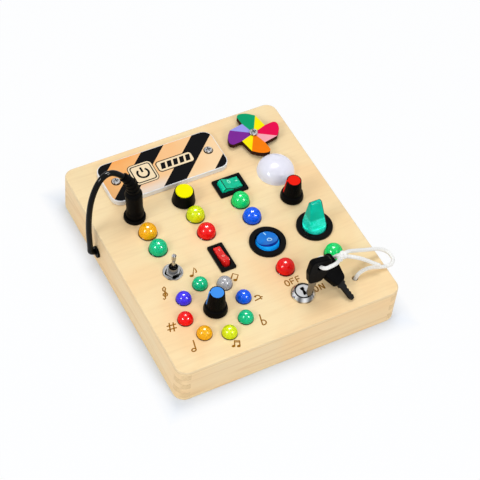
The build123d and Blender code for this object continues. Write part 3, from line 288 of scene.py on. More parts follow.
class BusyBoardLight(bpy.types.PropertyGroup):
    sky: FloatProperty(name="Sky", description="Strength of the even light from all sides", default=0.465, min=0.0)
    overhead: FloatProperty(name="Overhead", description="Power of the box above, in watts", default=4.15, min=0.0)
    sides: FloatProperty(name="Sides", description="Power of each side box, in watts", default=2.8, min=0.0)
    glint: FloatProperty(name="Glints", description="Brightness of the boxes seen in gloss", default=100.0, min=0.0)
    reach: FloatProperty(name="Reach", description="Distance of the boxes, in metres", default=1.2, min=0.2)


class BusyBoardWood(bpy.types.PropertyGroup):
    face: FloatVectorProperty(
        name="Face", description="Main colour of the face", subtype="COLOR",
        default=paint(252, 228, 181)[:3],
    )
    patch: FloatVectorProperty(
        name="Patches", description="Deeper colour of its patches", subtype="COLOR",
        default=paint(251, 217, 167)[:3],
    )
    side: FloatVectorProperty(
        name="Side boards", description="Main colour of the sides", subtype="COLOR",
        default=paint(247, 223, 181)[:3],
    )
    grain: FloatVectorProperty(
        name="Grain", description="Colour of the grain lines", subtype="COLOR",
        default=paint(222, 184, 134)[:3],
    )
    burnt: FloatVectorProperty(
        name="Burnt marks", description="Colour of the burnt marks", subtype="COLOR",
        default=paint(160, 106, 20)[:3],
    )


class BusyBoardSettings(bpy.types.PropertyGroup):
    camera: PointerProperty(type=BusyBoardCamera, name="Camera", description="Where the board is seen from")
    light: PointerProperty(type=BusyBoardLight, name="Light", description="Studio light")
    wood: PointerProperty(type=BusyBoardWood, name="Wood", description="Colours of the wood")
    round_segments: IntProperty(
        name="Round segments", description="Faces round a turned piece", default=64, min=12, max=128
    )


def settings():
    return bpy.context.scene.busy_board


# ---------------------------------------------------------------- shader building
def shader_node(tree, kind, values=None, **options):
    """Node with its options set and its inputs given as values or as sockets to link."""
    made = tree.nodes.new(kind)
    for option, value in options.items():
        setattr(made, option, value)
    for key, value in (values or {}).items():
        if isinstance(value, bpy.types.NodeSocket):
            tree.links.new(value, made.inputs[key])
        else:
            made.inputs[key].default_value = value
    return made


def mixed(tree, share, first, second):
    """Colour between two, by a share."""
    made = shader_node(tree, "ShaderNodeMix", {0: share, 6: first, 7: second}, data_type="RGBA")
    return made.outputs[2]


def reckoned(tree, operation, *values):
    made = shader_node(tree, "ShaderNodeMath", dict(enumerate(values)), operation=operation)
    return made.outputs[0]


def ranged(tree, value, low, high, to_low, to_high):
    made = shader_node(
        tree,
        "ShaderNodeMapRange",
        {"Value": value, "From Min": low, "From Max": high, "To Min": to_low, "To Max": to_high},
    )
    return made.outputs["Result"]


def clouds(tree, where, scale, detail=3.0, roughness=0.5, distortion=0.0):
    made = shader_node(
        tree,
        "ShaderNodeTexNoise",
        {"Vector": where, "Scale": scale, "Detail": detail, "Roughness": roughness, "Distortion": distortion},
    )
    return made.outputs["Fac"]


def object_place(tree):
    return shader_node(tree, "ShaderNodeTexCoord").outputs["Object"]


def along_axis(tree, vector, axis):
    """One coordinate of a vector."""
    return shader_node(tree, "ShaderNodeSeparateXYZ", {"Vector": vector}).outputs[axis]


def stretched(tree, where, scale):
    made = shader_node(tree, "ShaderNodeMapping", {"Vector": where, "Scale": scale})
    return made.outputs["Vector"]


def shader_group(name, inputs, outputs):
    """Empty shader group with (name, kind, default) inputs and (name, kind) outputs."""
    group = bpy.data.node_groups.new(name, "ShaderNodeTree")
    for label, kind, value in inputs:
        socket = group.interface.new_socket(label, in_out="INPUT", socket_type=kind)
        if value is not None:
            socket.default_value = value
    for label, kind in outputs:
        group.interface.new_socket(label, in_out="OUTPUT", socket_type=kind)
    return group, group.nodes.new("NodeGroupInput").outputs, group.nodes.new("NodeGroupOutput").inputs


def surface_group():
    """Slight mottling, uneven gloss and fine texture of a moulded, painted or plated surface."""
    group, given, result = shader_group(
        "Worked surface",
        [
            ("Color", "NodeSocketColor", (0.5, 0.5, 0.5, 1)),
            ("Worn Color", "NodeSocketColor", (0.4, 0.4, 0.4, 1)),
            ("Amount", "NodeSocketFloat", 0.3),
            ("Scale", "NodeSocketFloat", 120.0),
            ("Gloss Low", "NodeSocketFloat", 0.3),
            ("Gloss High", "NodeSocketFloat", 0.4),
            ("Relief", "NodeSocketFloat", 0.05),
        ],
        [("Color", "NodeSocketColor"), ("Roughness", "NodeSocketFloat"), ("Normal", "NodeSocketVector")],
    )
    place = object_place(group)
    mottle = clouds(group, place, given["Scale"], 3.0)
    fine = clouds(group, place, reckoned(group, "MULTIPLY", given["Scale"], 14.0), 2.0)
    share = reckoned(group, "MULTIPLY", ranged(group, mottle, 0.35, 0.7, 0.0, 1.0), given["Amount"])
    group.links.new(mixed(group, share, given["Color"], given["Worn Color"]), result["Color"])
    gloss = ranged(group, fine, 0.3, 0.7, given["Gloss Low"], given["Gloss High"])
    group.links.new(gloss, result["Roughness"])
    bump = shader_node(
        group, "ShaderNodeBump", {"Strength": given["Relief"], "Distance": 0.0002, "Height": fine}
    )
    group.links.new(bump.outputs["Normal"], result["Normal"])
    return group


def wood_group():
    """Pale wood: soft patches, long fibres along the stretched vector and straight growth lines."""
    group, given, result = shader_group(
        "Pale wood",
        [
            ("Vector", "NodeSocketVector", None),
            ("Main", "NodeSocketColor", (0.9, 0.7, 0.4, 1)),
            ("Patch", "NodeSocketColor", (0.8, 0.6, 0.3, 1)),
            ("Line", "NodeSocketColor", (0.7, 0.5, 0.2, 1)),
            ("Patch Scale", "NodeSocketFloat", 24.0),
            ("Line Amount", "NodeSocketFloat", 0.3),
            ("Line Scale", "NodeSocketFloat", 60.0),
            ("Fibre Amount", "NodeSocketFloat", 0.3),
        ],
        [("Color", "NodeSocketColor"), ("Roughness", "NodeSocketFloat"), ("Normal", "NodeSocketVector")],
    )
    place = object_place(group)
    patch = ranged(group, clouds(group, place, given["Patch Scale"], 2.0, 0.45, 0.4), 0.38, 0.66, 0.0, 1.0)
    fibre = clouds(group, given["Vector"], 420.0, 5.0, 0.62)
    bands = clouds(group, given["Vector"], given["Line Scale"], 1.5, 0.5, 0.3)
    line = shader_node(group, "ShaderNodeValToRGB", {"Fac": bands})
    ramp = line.color_ramp
    ramp.elements[0].position = 0.47
    ramp.elements[0].color = (0, 0, 0, 1)
    ramp.elements[1].position = 0.53
    ramp.elements[1].color = (0, 0, 0, 1)
    crest = ramp.elements.new(0.5)
    crest.color = (1, 1, 1, 1)
    colour = mixed(group, patch, given["Main"], given["Patch"])
    line_share = reckoned(group, "MULTIPLY", line.outputs["Color"], given["Line Amount"])
    colour = mixed(group, line_share, colour, given["Line"])
    fibre_share = reckoned(group, "MULTIPLY", ranged(group, fibre, 0.45, 0.75, 0.0, 1.0), given["Fibre Amount"])
    group.links.new(mixed(group, fibre_share, colour, given["Line"]), result["Color"])
    group.links.new(ranged(group, fibre, 0.3, 0.7, 0.42, 0.58), result["Roughness"])
    bump = shader_node(group, "ShaderNodeBump", {"Strength": 0.12, "Distance": 0.0002, "Height": fibre})
    group.links.new(bump.outputs["Normal"], result["Normal"])
    return group


GROUPS = {}


def shared_group(name):
    """A shared shader group, built on first use."""
    if name not in GROUPS:
        GROUPS[name] = {"surface": surface_group, "wood": wood_group}[name]()
    return GROUPS[name]


def new_material(name, **sockets):
    """Principled material with the given uniform values set on its own sockets."""
    material = bpy.data.materials.new(name)
    material.use_nodes = True
    shader = material.node_tree.nodes["Principled BSDF"]
    for label, value in sockets.items():
        shader.inputs[label.replace("_", " ").title().replace("Ior", "IOR")].default_value = value
    return material, material.node_tree, shader


def plug_in(tree, group_name, shader, values):
    """Places a shared group and feeds colour, roughness and normal to the shader."""
    placed = shader_node(tree, "ShaderNodeGroup", values, node_tree=shared_group(group_name))
    for given, taken in (("Color", "Base Color"), ("Roughness", "Roughness"), ("Normal", "Normal")):
        tree.links.new(placed.outputs[given], shader.inputs[taken])
    return placed


def surfaced(tree, shader, colour, worn, amount, scale, gloss, relief):
    """Feeds the shader from the worked surface; gloss is (lowest, highest) roughness."""
    return plug_in(tree, "surface", shader, {
        "Color": colour,
        "Worn Color": worn,
        "Amount": amount,
        "Scale": scale,
        "Gloss Low": gloss[0],
        "Gloss High": gloss[1],
        "Relief": relief,
    })


def toned(colour, factor):
    return (colour[0] * factor, colour[1] * factor, colour[2] * factor, 1.0)


def worked(name, colour, gloss, worn=None, amount=0.35, scale=120.0, relief=0.05, **sockets):
    """Moulded, painted or plated finish with a little variation; gloss is (lowest, highest) roughness."""
    material, tree, shader = new_material(name, **sockets)
    surfaced(tree, shader, colour, worn or toned(colour, 0.8), amount, scale, gloss, relief)
    return material


# ---------------------------------------------------------------- materials
def wooded(tree, shader, texture, stretch, patch_scale, line_amount, line_scale, fibre_amount, main):
    """Feeds the shader from the pale wood, whose fibres run along the stretched axis."""
    wood = settings().wood
    return plug_in(tree, "wood", shader, {
        "Vector": stretched(tree, texture.outputs["Object"], stretch),
        "Main": (*main, 1),
        "Patch": (*wood.patch, 1),
        "Line": (*wood.grain, 1),
        "Patch Scale": patch_scale,
        "Line Amount": line_amount,
        "Line Scale": line_scale,
        "Fibre Amount": fibre_amount,
    })


def face_plywood(name):
    """Thin plywood: pale face, a duller line along the rounded edge and plies on the cut edge."""
    material, tree, shader = new_material(name, specular_ior_level=0.15)
    texture = shader_node(tree, "ShaderNodeTexCoord")
    placed = wooded(tree, shader, texture, (0.08, 1.0, 1.0), 26.0, 0.10, 90.0, 0.16, settings().wood.face)
    facing = along_axis(tree, texture.outputs["Normal"], "Z")
    rounding = reckoned(
        tree, "MULTIPLY", ranged(tree, facing, 0.99, 0.93, 0.0, 0.6), ranged(tree, facing, 0.1, 0.25, 0.0, 1.0)
    )
    colour = mixed(tree, rounding, placed.outputs["Color"], paint(228, 207, 172))
    height = along_axis(tree, texture.outputs["Object"], "Z")
    middle = reckoned(tree, "ABSOLUTE", reckoned(tree, "SUBTRACT", height, (TOP - MIDDLE_PLY_DEPTH) * MM))
    ply = reckoned(
        tree, "MULTIPLY", ranged(tree, middle, 0.0005, 0.0004, 0.0, 0.8), ranged(tree, facing, 0.2, 0.1, 0.0, 1.0)
    )
    tree.links.new(mixed(tree, ply, colour, paint(232, 202, 160)), shader.inputs["Base Color"])
    return material


def board_wood(name, stretch, end_axis):
    """Solid pine of a side board: lines along its length, end grain across its ends, and dark lines at the real
    finger joints, darkened as painted shade in their gaps.
    """
    material, tree, shader = new_material(name, specular_ior_level=0.15)
    texture = shader_node(tree, "ShaderNodeTexCoord")
    placed = wooded(tree, shader, texture, stretch, 18.0, 0.38, 70.0, 0.2, settings().wood.side)
    facing = reckoned(tree, "ABSOLUTE", along_axis(tree, texture.outputs["Normal"], end_axis))
    end_share = ranged(tree, facing, 0.6, 0.8, 0.0, 1.0)
    pores = ranged(tree, clouds(tree, texture.outputs["Object"], 700.0, 4.0, 0.7), 0.35, 0.65, 0.0, 1.0)
    height = along_axis(tree, texture.outputs["Object"], "Z")
    rows = reckoned(tree, "DIVIDE", reckoned(tree, "SUBTRACT", height, FINGERS_LOW * MM), FINGER_HEIGHT * MM)
    joint = reckoned(tree, "ABSOLUTE", reckoned(tree, "SUBTRACT", reckoned(tree, "FRACT", rows), 0.5))
    # Painted shade: a dark line at each joint between finger rows.
    joint_gap_shade = ranged(tree, joint, 0.45, 0.48, 0.0, 0.65)
    end_colour = mixed(tree, pores, paint(241, 213, 166), paint(231, 199, 150))
    end_colour = mixed(tree, joint_gap_shade, end_colour, paint(150, 112, 70))
    tree.links.new(mixed(tree, end_share, placed.outputs["Color"], end_colour), shader.inputs["Base Color"])
    return material


def lamp_plastic(name, colour, shade=1.0):
    return worked(
        name, toned(colour, shade), (0.1, 0.14), worn=toned(colour, 0.88 * shade), amount=0.25, scale=90.0,
        relief=0.004, specular_ior_level=0.0, coat_weight=0.5, coat_roughness=0.2,
    )


def chrome(name, shade, gloss, painted_reflection=0.0):
    """Plated metal; a last value above zero paints dark and bright bands of reflection on it, laid by the way its
    surface faces.
    """
    material, tree, shader = new_material(name, metallic=1.0)
    facing = shader_node(tree, "ShaderNodeTexCoord").outputs["Normal"]
    reflection_phase = shader_node(
        tree, "ShaderNodeVectorMath", {0: facing, 1: (7.0, -5.0, 0.0)}, operation="DOT_PRODUCT"
    ).outputs["Value"]
    # Painted reflection: bands by facing stand in for a studio mirrored in the metal.
    reflection_band = ranged(tree, reckoned(tree, "SINE", reflection_phase), -1.0, 1.0, 0.0, 1.0)
    dark, bright = shade * (1 - painted_reflection), min(shade * (1 + painted_reflection), 0.95)
    tone = mixed(tree, reflection_band, (dark, dark, dark * 1.02, 1), (bright, bright, bright * 1.01, 1))
    surfaced(tree, shader, tone, mixed(tree, 0.3, tone, (0, 0, 0, 1)), 0.3, 260.0, gloss, 0.04)
    return material


def black_plastic(name, level=0.0025, gloss=(0.28, 0.38), relief=0.08, specular=0.03):
    return worked(
        name, (level, level, level * 1.1, 1), gloss, worn=(level * 2.2, level * 2.2, level * 2.3, 1),
        amount=0.3, scale=160.0, relief=relief, specular_ior_level=specular,
    )


def tinted_plastic(name, colour, deep, **sockets):
    """Tinted plastic of a lit switch: brighter and deeper zones, high gloss."""
    return worked(
        name, colour, (0.12, 0.18), worn=deep, amount=0.75, scale=110.0, relief=0.01, specular_ior_level=0.08,
        coat_weight=0.1, coat_roughness=0.15, **sockets,
    )


MATERIALS = {}


def finish_named(name):
    """The object's finishes by name, each built on first use."""
    if name not in MATERIALS:
        MATERIALS[name] = FINISHES[name](name)
    return MATERIALS[name]


def teal_lever_plastic(name):
    """Tinted plastic with painted light low down, where the lamp sits, fading to its deeper own colour up the
    lever.
    """
    material, tree, shader = new_material(
        name, specular_ior_level=0.05, coat_weight=0.08, coat_roughness=0.15
    )
    placed = surfaced(
        tree, shader, paint(0, 208, 180), paint(0, 180, 148), 0.6, 120.0, (0.08, 0.15), 0.02
    )
    height = along_axis(tree, object_place(tree), "Z")
    # Painted light: below the lit heights the lever takes a brighter, speckled colour, fading to its own colour
    # above, for the lamp's glow.
    rise = ranged(tree, height, (TOP + LEVER_LIT_LOW) * MM, (TOP + LEVER_LIT_HIGH) * MM, 0.0, 1.0)
    glow_speckle = ranged(tree, clouds(tree, object_place(tree), 420.0, 3.0, 0.6, 1.5), 0.4, 0.6, 0.0, 1.0)
    bright = mixed(tree, glow_speckle, paint(64, 255, 236), paint(0, 240, 204))
    tree.links.new(mixed(tree, rise, bright, placed.outputs["Color"]), shader.inputs["Base Color"])
    return material


def sign_print_colour(name):
    """Orange print that fades to pale peach towards the lower right."""
    material, tree, shader = new_material(name, specular_ior_level=0.1)
    across = along_axis(tree, object_place(tree), "X")
    upwards = along_axis(tree, object_place(tree), "Y")
    rightwards = reckoned(tree, "MULTIPLY", across, 9.0)
    fall = reckoned(tree, "SUBTRACT", rightwards, reckoned(tree, "MULTIPLY", upwards, 10.0))
    drift = ranged(tree, clouds(tree, object_place(tree), 34.0, 2.0), 0.3, 0.7, -0.16, 0.16)
    share = ranged(tree, reckoned(tree, "ADD", fall, drift), -1.2, -0.3, 0.0, 1.0)
    front = ranged(tree, upwards, 0.057, 0.05, 0.0, 0.7)
    worn_off = reckoned(tree, "MULTIPLY", front, ranged(tree, across, -0.046, -0.04, 0.0, 1.0))
    worn_off = reckoned(tree, "MULTIPLY", worn_off, ranged(tree, across, -0.008, -0.024, 0.0, 1.0))
    strong = mixed(tree, share, paint(250, 172, 92), paint(253, 226, 184))
    soft = mixed(tree, share, paint(249, 188, 118), paint(251, 214, 166))
    fresh = mixed(tree, worn_off, strong, paint(240, 236, 230))
    faded = mixed(tree, worn_off, soft, paint(244, 234, 222))
    surfaced(tree, shader, fresh, faded, 0.8, 60.0, (0.3, 0.4), 0.02)
    return material


def woven_string(name):
    """White cotton cord: crossing strands that follow the cord's own map."""
    material, tree, shader = new_material(
        name, specular_ior_level=0.1, sheen_weight=0.2, sheen_roughness=0.5
    )
    strand_map = shader_node(tree, "ShaderNodeUVMap", uv_map=STRAND_MAP).outputs["UV"]
    along = reckoned(tree, "MULTIPLY", along_axis(tree, strand_map, "X"), 2 * math.pi)
    round_it = reckoned(tree, "MULTIPLY", along_axis(tree, strand_map, "Y"), 2 * math.pi * STRAND_TURNS)
    left = reckoned(tree, "SINE", reckoned(tree, "ADD", along, round_it))
    right = reckoned(tree, "SINE", reckoned(tree, "SUBTRACT", along, round_it))
    weave = reckoned(tree, "MULTIPLY", left, right)
    share = ranged(tree, weave, -1.0, 1.0, 0.0, 1.0)
    fuzz = clouds(tree, object_place(tree), 2600.0, 3.0, 0.7)
    colour = mixed(tree, share, paint(242, 242, 238), paint(255, 255, 254))
    colour = mixed(tree, ranged(tree, fuzz, 0.4, 0.7, 0.0, 0.4), colour, paint(246, 246, 242))
    tree.links.new(colour, shader.inputs["Base Color"])
    shader.inputs["Roughness"].default_value = 0.85
    height = reckoned(tree, "ADD", share, reckoned(tree, "MULTIPLY", fuzz, 0.5))
    bump = shader_node(tree, "ShaderNodeBump", {"Strength": 0.6, "Distance": 0.0003, "Height": height})
    tree.links.new(bump.outputs["Normal"], shader.inputs["Normal"])
    return material


def burnt_wood(name):
    return worked(
        name, (*settings().wood.burnt, 1), (0.6, 0.75), worn=paint(132, 84, 12), amount=0.6, scale=500.0,
        specular_ior_level=0.1,
    )


def recipe(maker, *values, **options):
    """A finish that is made under its own name when it is first used."""
    return lambda name: maker(name, *values, **options)


FINISHES = {
    "face_plywood": face_plywood,
    "wood_along_x": recipe(board_wood, (0.06, 1.0, 1.0), "X"),
    "wood_along_y": recipe(board_wood, (1.0, 0.06, 1.0), "Y"),
    "burnt": burnt_wood,
    "black": recipe(black_plastic),
    "black_gloss": recipe(black_plastic, 0.0025, (0.16, 0.24), 0.03, 0.07),
    "black_rubber": recipe(black_plastic, 0.003, (0.32, 0.42), 0.12, 0.02),
    "cord_black": recipe(black_plastic, 0.002, (0.12, 0.18), 0.02, 0.1),
    "chrome": recipe(chrome, 0.42, (0.1, 0.18), 0.8),
    "bright_chrome": recipe(chrome, 0.5, (0.12, 0.2), 0.7),
    "satin_steel": recipe(chrome, 0.32, (0.24, 0.34)),
    "key_steel": recipe(chrome, 0.24, (0.2, 0.3)),
    "core_silver": recipe(chrome, 0.7, (0.3, 0.4)),
    "dark_steel": recipe(chrome, 0.02, (0.28, 0.4)),
    "brass": recipe(worked, (0.78, 0.56, 0.22, 1), (0.2, 0.32), amount=0.4, scale=200.0, metallic=1.0),
    "white_plastic": recipe(worked, paint(246, 246, 248), (0.3, 0.4), amount=0.2, specular_ior_level=0.15),
    # The dome's faint blue emission is a painted glow that brightens the unlit dome.
    "dome_white": recipe(
        worked, paint(240, 239, 250), (0.16, 0.22), worn=paint(232, 230, 246), amount=0.4, scale=50.0,
        relief=0.004, specular_ior_level=0.05, coat_weight=0.1, coat_roughness=0.2,
        subsurface_weight=0.3, subsurface_scale=0.006, subsurface_radius=(1.0, 1.0, 1.0),
        emission_color=(0.55, 0.6, 1.0, 1.0), emission_strength=0.09,
    ),
    "print_black": recipe(worked, paint(14, 14, 16), (0.32, 0.42), amount=0.3, specular_ior_level=0.05),
    "print_cream": recipe(worked, paint(252, 229, 190), (0.35, 0.45), amount=0.3, specular_ior_level=0.1),
    "cap_yellow": recipe(worked, paint(252, 246, 0), (0.4, 0.5), amount=0.12, specular_ior_level=0.05),
    "cap_red": recipe(worked, paint(244, 32, 16), (0.4, 0.5), amount=0.2, specular_ior_level=0.06),
    "cap_blue": recipe(worked, paint(66, 148, 240), (0.4, 0.5), amount=0.2, specular_ior_level=0.12),
    # Edge copies of the rocker colours are painted shade on their eased edges; wall copies are painted light and
    # shade on their outward walls.
    "rocker_green": recipe(tinted_plastic, paint(8, 204, 158), paint(2, 166, 124)),
    "rocker_green_edge": recipe(tinted_plastic, paint(4, 92, 66), paint(2, 74, 54)),
    "rocker_green_wall": recipe(tinted_plastic, paint(8, 240, 194), paint(4, 196, 150)),
    "rocker_red": recipe(tinted_plastic, paint(240, 58, 54), paint(228, 40, 38)),
    "rocker_red_edge": recipe(tinted_plastic, paint(214, 24, 22), paint(190, 12, 14)),
    "rocker_red_wall": recipe(tinted_plastic, paint(222, 30, 26), paint(200, 18, 16)),
    "rocker_blue": recipe(tinted_plastic, paint(8, 124, 220), paint(0, 92, 194)),
    "rocker_blue_edge": recipe(tinted_plastic, paint(2, 44, 160), paint(2, 32, 130)),
    # Painted glow on the blue rocker's walls.
    "rocker_blue_wall": recipe(
        tinted_plastic, paint(24, 184, 255), paint(0, 156, 255), emission_color=paint(0, 120, 255),
        emission_strength=0.25,
    ),
    "mark_green": recipe(worked, paint(150, 246, 214), (0.4, 0.5), amount=0.2),
    "mark_red": recipe(worked, paint(252, 150, 140), (0.4, 0.5), amount=0.2),
    "mark_blue": recipe(worked, paint(176, 230, 255), (0.4, 0.5), amount=0.2),
    "lever_teal": teal_lever_plastic,
    # The teal lever's edge finish is painted shade on its outlines.
    "lever_teal_edge": recipe(tinted_plastic, paint(0, 72, 58), paint(0, 50, 40)),
    "sign_peach": sign_print_colour,
    "string_white": woven_string,
    "wheel_edge": recipe(
        worked, paint(66, 30, 14), (0.6, 0.75), worn=paint(34, 16, 8), amount=0.9, scale=300.0,
        specular_ior_level=0.1,
    ),
    "plastic_grey": recipe(worked, paint(60, 62, 66), (0.4, 0.5)),
    "cell_jacket": recipe(worked, paint(40, 90, 60), (0.25, 0.35)),
    "circuit_green": recipe(worked, paint(20, 90, 50), (0.3, 0.4)),
    "wire_red": recipe(worked, paint(190, 30, 26), (0.35, 0.45)),
    "led_clear": recipe(worked, paint(226, 228, 224), (0.1, 0.15), transmission_weight=0.4),
    "void_black": recipe(worked, (0.002, 0.002, 0.002, 1), (0.7, 0.8)),
}
# Each lamp colour has a darkened copy for its foot, painted shade.
for lamp_name, lamp_colour in LAMP_COLOURS.items():
    FINISHES[f"lamp_{lamp_name}"] = recipe(lamp_plastic, lamp_colour)
    FINISHES[f"lamp_{lamp_name}_foot"] = recipe(lamp_plastic, lamp_colour, LAMP_FOOT_PAINTED_SHADE)
for wheel_name, wheel_colour in WHEEL_COLOURS.items():
    FINISHES[f"wheel_{wheel_name}"] = recipe(
        worked, wheel_colour, (0.4, 0.5), amount=0.25, scale=150.0, relief=0.08, specular_ior_level=0.12
    )


# ---------------------------------------------------------------- mesh helpers
GLOSSY_FINISHES = ("lamp_", "dome_white", "rocker_", "lever_teal", "cord_black", "black_rubber")


def glossy_pieces():
    """The pieces that the glint boxes light."""
    return bpy.data.collections.get("Glossy pieces") or bpy.data.collections.new("Glossy pieces")


def placed_object(name, bm):
    """Object of a millimetre bmesh, scaled to metres, in the scene."""
    bmesh.ops.scale(bm, vec=(MM, MM, MM), verts=bm.verts)
    mesh = bpy.data.meshes.new(name)
    bm.to_mesh(mesh)
    bm.free()
    made = bpy.data.objects.new(name, mesh)
    bpy.context.scene.collection.objects.link(made)
    return made


def dress(piece, finishes):
    """Gives a piece its finishes; the glint boxes light it if the first is glossy."""
    for finish in finishes:
        piece.data.materials.append(finish_named(finish))
    if finishes[0].startswith(GLOSSY_FINISHES):
        glossy_pieces().objects.link(piece)


def finish_piece(name, bm, body, finishes, replaces=(), sharp=32.0, even=True):
    """Turns a millimetre bmesh into a piece that rides on its body."""
    for shaded_edge in bm.edges:
        shaded_edge.smooth = not (shaded_edge.is_manifold and shaded_edge.calc_face_angle(0.0) > math.radians(sharp))
    for face in bm.faces:
        face.smooth = True
    piece = placed_object(name, bm)
    dress(piece, finishes)
    if even:
        weighted = piece.modifiers.new("Even faces", "WEIGHTED_NORMAL")
        weighted.keep_sharp = True
    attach(piece, body)
    if replaces:
        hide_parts(*replaces)


def merged_copy(node):
    """The node's own shape in millimetres, its loose triangles merged and its flat faces joined."""
    bm = bmesh.new()
    bm.from_mesh(frame["nodes"][node].data)
    bmesh.ops.scale(bm, vec=(1 / MM, 1 / MM, 1 / MM), verts=bm.verts)
    bmesh.ops.remove_doubles(bm, verts=bm.verts, dist=0.002)
    bmesh.ops.dissolve_limit(
        bm, angle_limit=math.radians(0.4), verts=bm.verts, edges=bm.edges, use_dissolve_boundaries=False
    )
    return bm


def ease_edges(bm, width, segments=2, sharper=30.0, chosen=None, material=-1):
    """Rounds the outer edges that are sharper than an angle."""
    limit = math.radians(sharper)
    edges = [e for e in bm.edges if e.is_manifold and e.is_convex and e.calc_face_angle(0.0) > limit]
    if chosen is not None:
        edges = [e for e in edges if chosen(e)]
    bmesh.ops.bevel(
        bm, geom=edges, offset=width, offset_type="OFFSET", segments=segments, profile=0.5,
        affect="EDGES", clamp_overlap=True, material=material,
    )


def refined(name, node, body, finishes, round_edges=0.0, segments=2):
    """A piece with the node's shape, merged, with its edges eased."""
    bm = merged_copy(node)
    if round_edges:
        ease_edges(bm, round_edges, segments)
    finish_piece(name, bm, body, finishes, (node,))


def turned(profile, centre, segments=None):
    """Solid of revolution about an upright axis, from (radius, height) corners."""
    bm = bmesh.new()
    points = [bm.verts.new((radius, 0.0, height)) for radius, height in profile]
    edges = [bm.edges.new(pair) for pair in zip(points, points[1:])]
    bmesh.ops.spin(
        bm, geom=points + edges, cent=(0, 0, 0), axis=(0, 0, 1), angle=2 * math.pi,
        steps=segments or settings().round_segments, use_merge=True,
    )
    bmesh.ops.remove_doubles(bm, verts=bm.verts, dist=MERGE_DIST)
    bmesh.ops.recalc_face_normals(bm, faces=bm.faces)
    bmesh.ops.translate(bm, vec=(centre[0], centre[1], 0.0), verts=bm.verts)
    return bm


def arc(centre_r, centre_z, radius, start, end, steps, squash=1.0):
    """Points of an arc in a turned profile; angles from level, in degrees."""
    points = []
    for step in range(steps + 1):
        angle = math.radians(start + (end - start) * step / steps)
        points.append((centre_r + radius * math.cos(angle), centre_z + squash * radius * math.sin(angle)))
    return points


def rounded_outline(size, corner_r, centre):
    """Points of a rounded rectangle."""
    points = []
    for quarter, (side_x, side_y) in enumerate(((1, 1), (-1, 1), (-1, -1), (1, -1))):
        middle = (centre[0] + side_x * (size[0] / 2 - corner_r), centre[1] + side_y * (size[1] / 2 - corner_r))
        for step in range(CORNER_STEPS + 1):
            points.append(polar_point(middle, corner_r, 90 * (quarter + step / CORNER_STEPS)))
    return points


def plate(bm, size, corner_r, low, high, centre):
    """Adds a flat plate with rounded corners."""
    flat_outline(bm, rounded_outline(size, corner_r, centre), low, high)


def raise_face(bm, face, height):
    """Gives a flat face a thickness upwards and points all its faces outwards."""
    raised = bmesh.ops.extrude_face_region(bm, geom=[face], use_keep_orig=True)
    moved = [item for item in raised["geom"] if isinstance(item, bmesh.types.BMVert)]
    bmesh.ops.translate(bm, vec=(0, 0, height), verts=moved)
    bmesh.ops.recalc_face_normals(bm, faces=bm.faces)


def flat_outline(bm, points, low, high):
    """Adds a flat solid with the given outline."""
    face = bm.faces.new([bm.verts.new((x, y, low)) for x, y in points])
    raise_face(bm, face, high - low)


def islands(node):
    """Boxes of the separate solids of a node, as (centre, half size), left to right."""
    bm = merged_copy(node)
    left = set(bm.verts)
    found = []
    while left:
        seed = left.pop()
        group = {seed}
        edge_on = [seed]
        while edge_on:
            vert = edge_on.pop()
            for link in vert.link_edges:
                other = link.other_vert(vert)
                if other not in group:
                    group.add(other)
                    edge_on.append(other)
        left -= group
        low = Vector([min(v.co[i] for v in group) for i in range(3)])
        high = Vector([max(v.co[i] for v in group) for i in range(3)])
        found.append(((low + high) / 2, (high - low) / 2))
    bm.free()
    return sorted(found, key=lambda item: item[0].x)


# ---------------------------------------------------------------- cords
def route_curve(name, points):
    """Smooth curve with the route's points as its control points, in metres."""
    curve = bpy.data.curves.new(name, "CURVE")
    curve.dimensions = "3D"
    curve.resolution_u = 16
    spline = curve.splines.new("NURBS")
    spline.points.add(len(points) - 1)
    for point, place in zip(spline.points, points):
        point.co = (place[0] * MM, place[1] * MM, place[2] * MM, 1.0)
    spline.order_u = 3
    spline.use_endpoint_u = True
    return curve


def read_route(curve):
    """Points along a curve, as Blender evaluates it, in metres."""
    holder = bpy.data.objects.new("route", curve)
    bpy.context.scene.collection.objects.link(holder)
    bpy.context.view_layer.update()
    line = bpy.data.meshes.new_from_object(holder)
    points = [vertex.co.copy() for vertex in line.vertices]
    bpy.data.objects.remove(holder)
    bpy.data.meshes.remove(line)
    return points


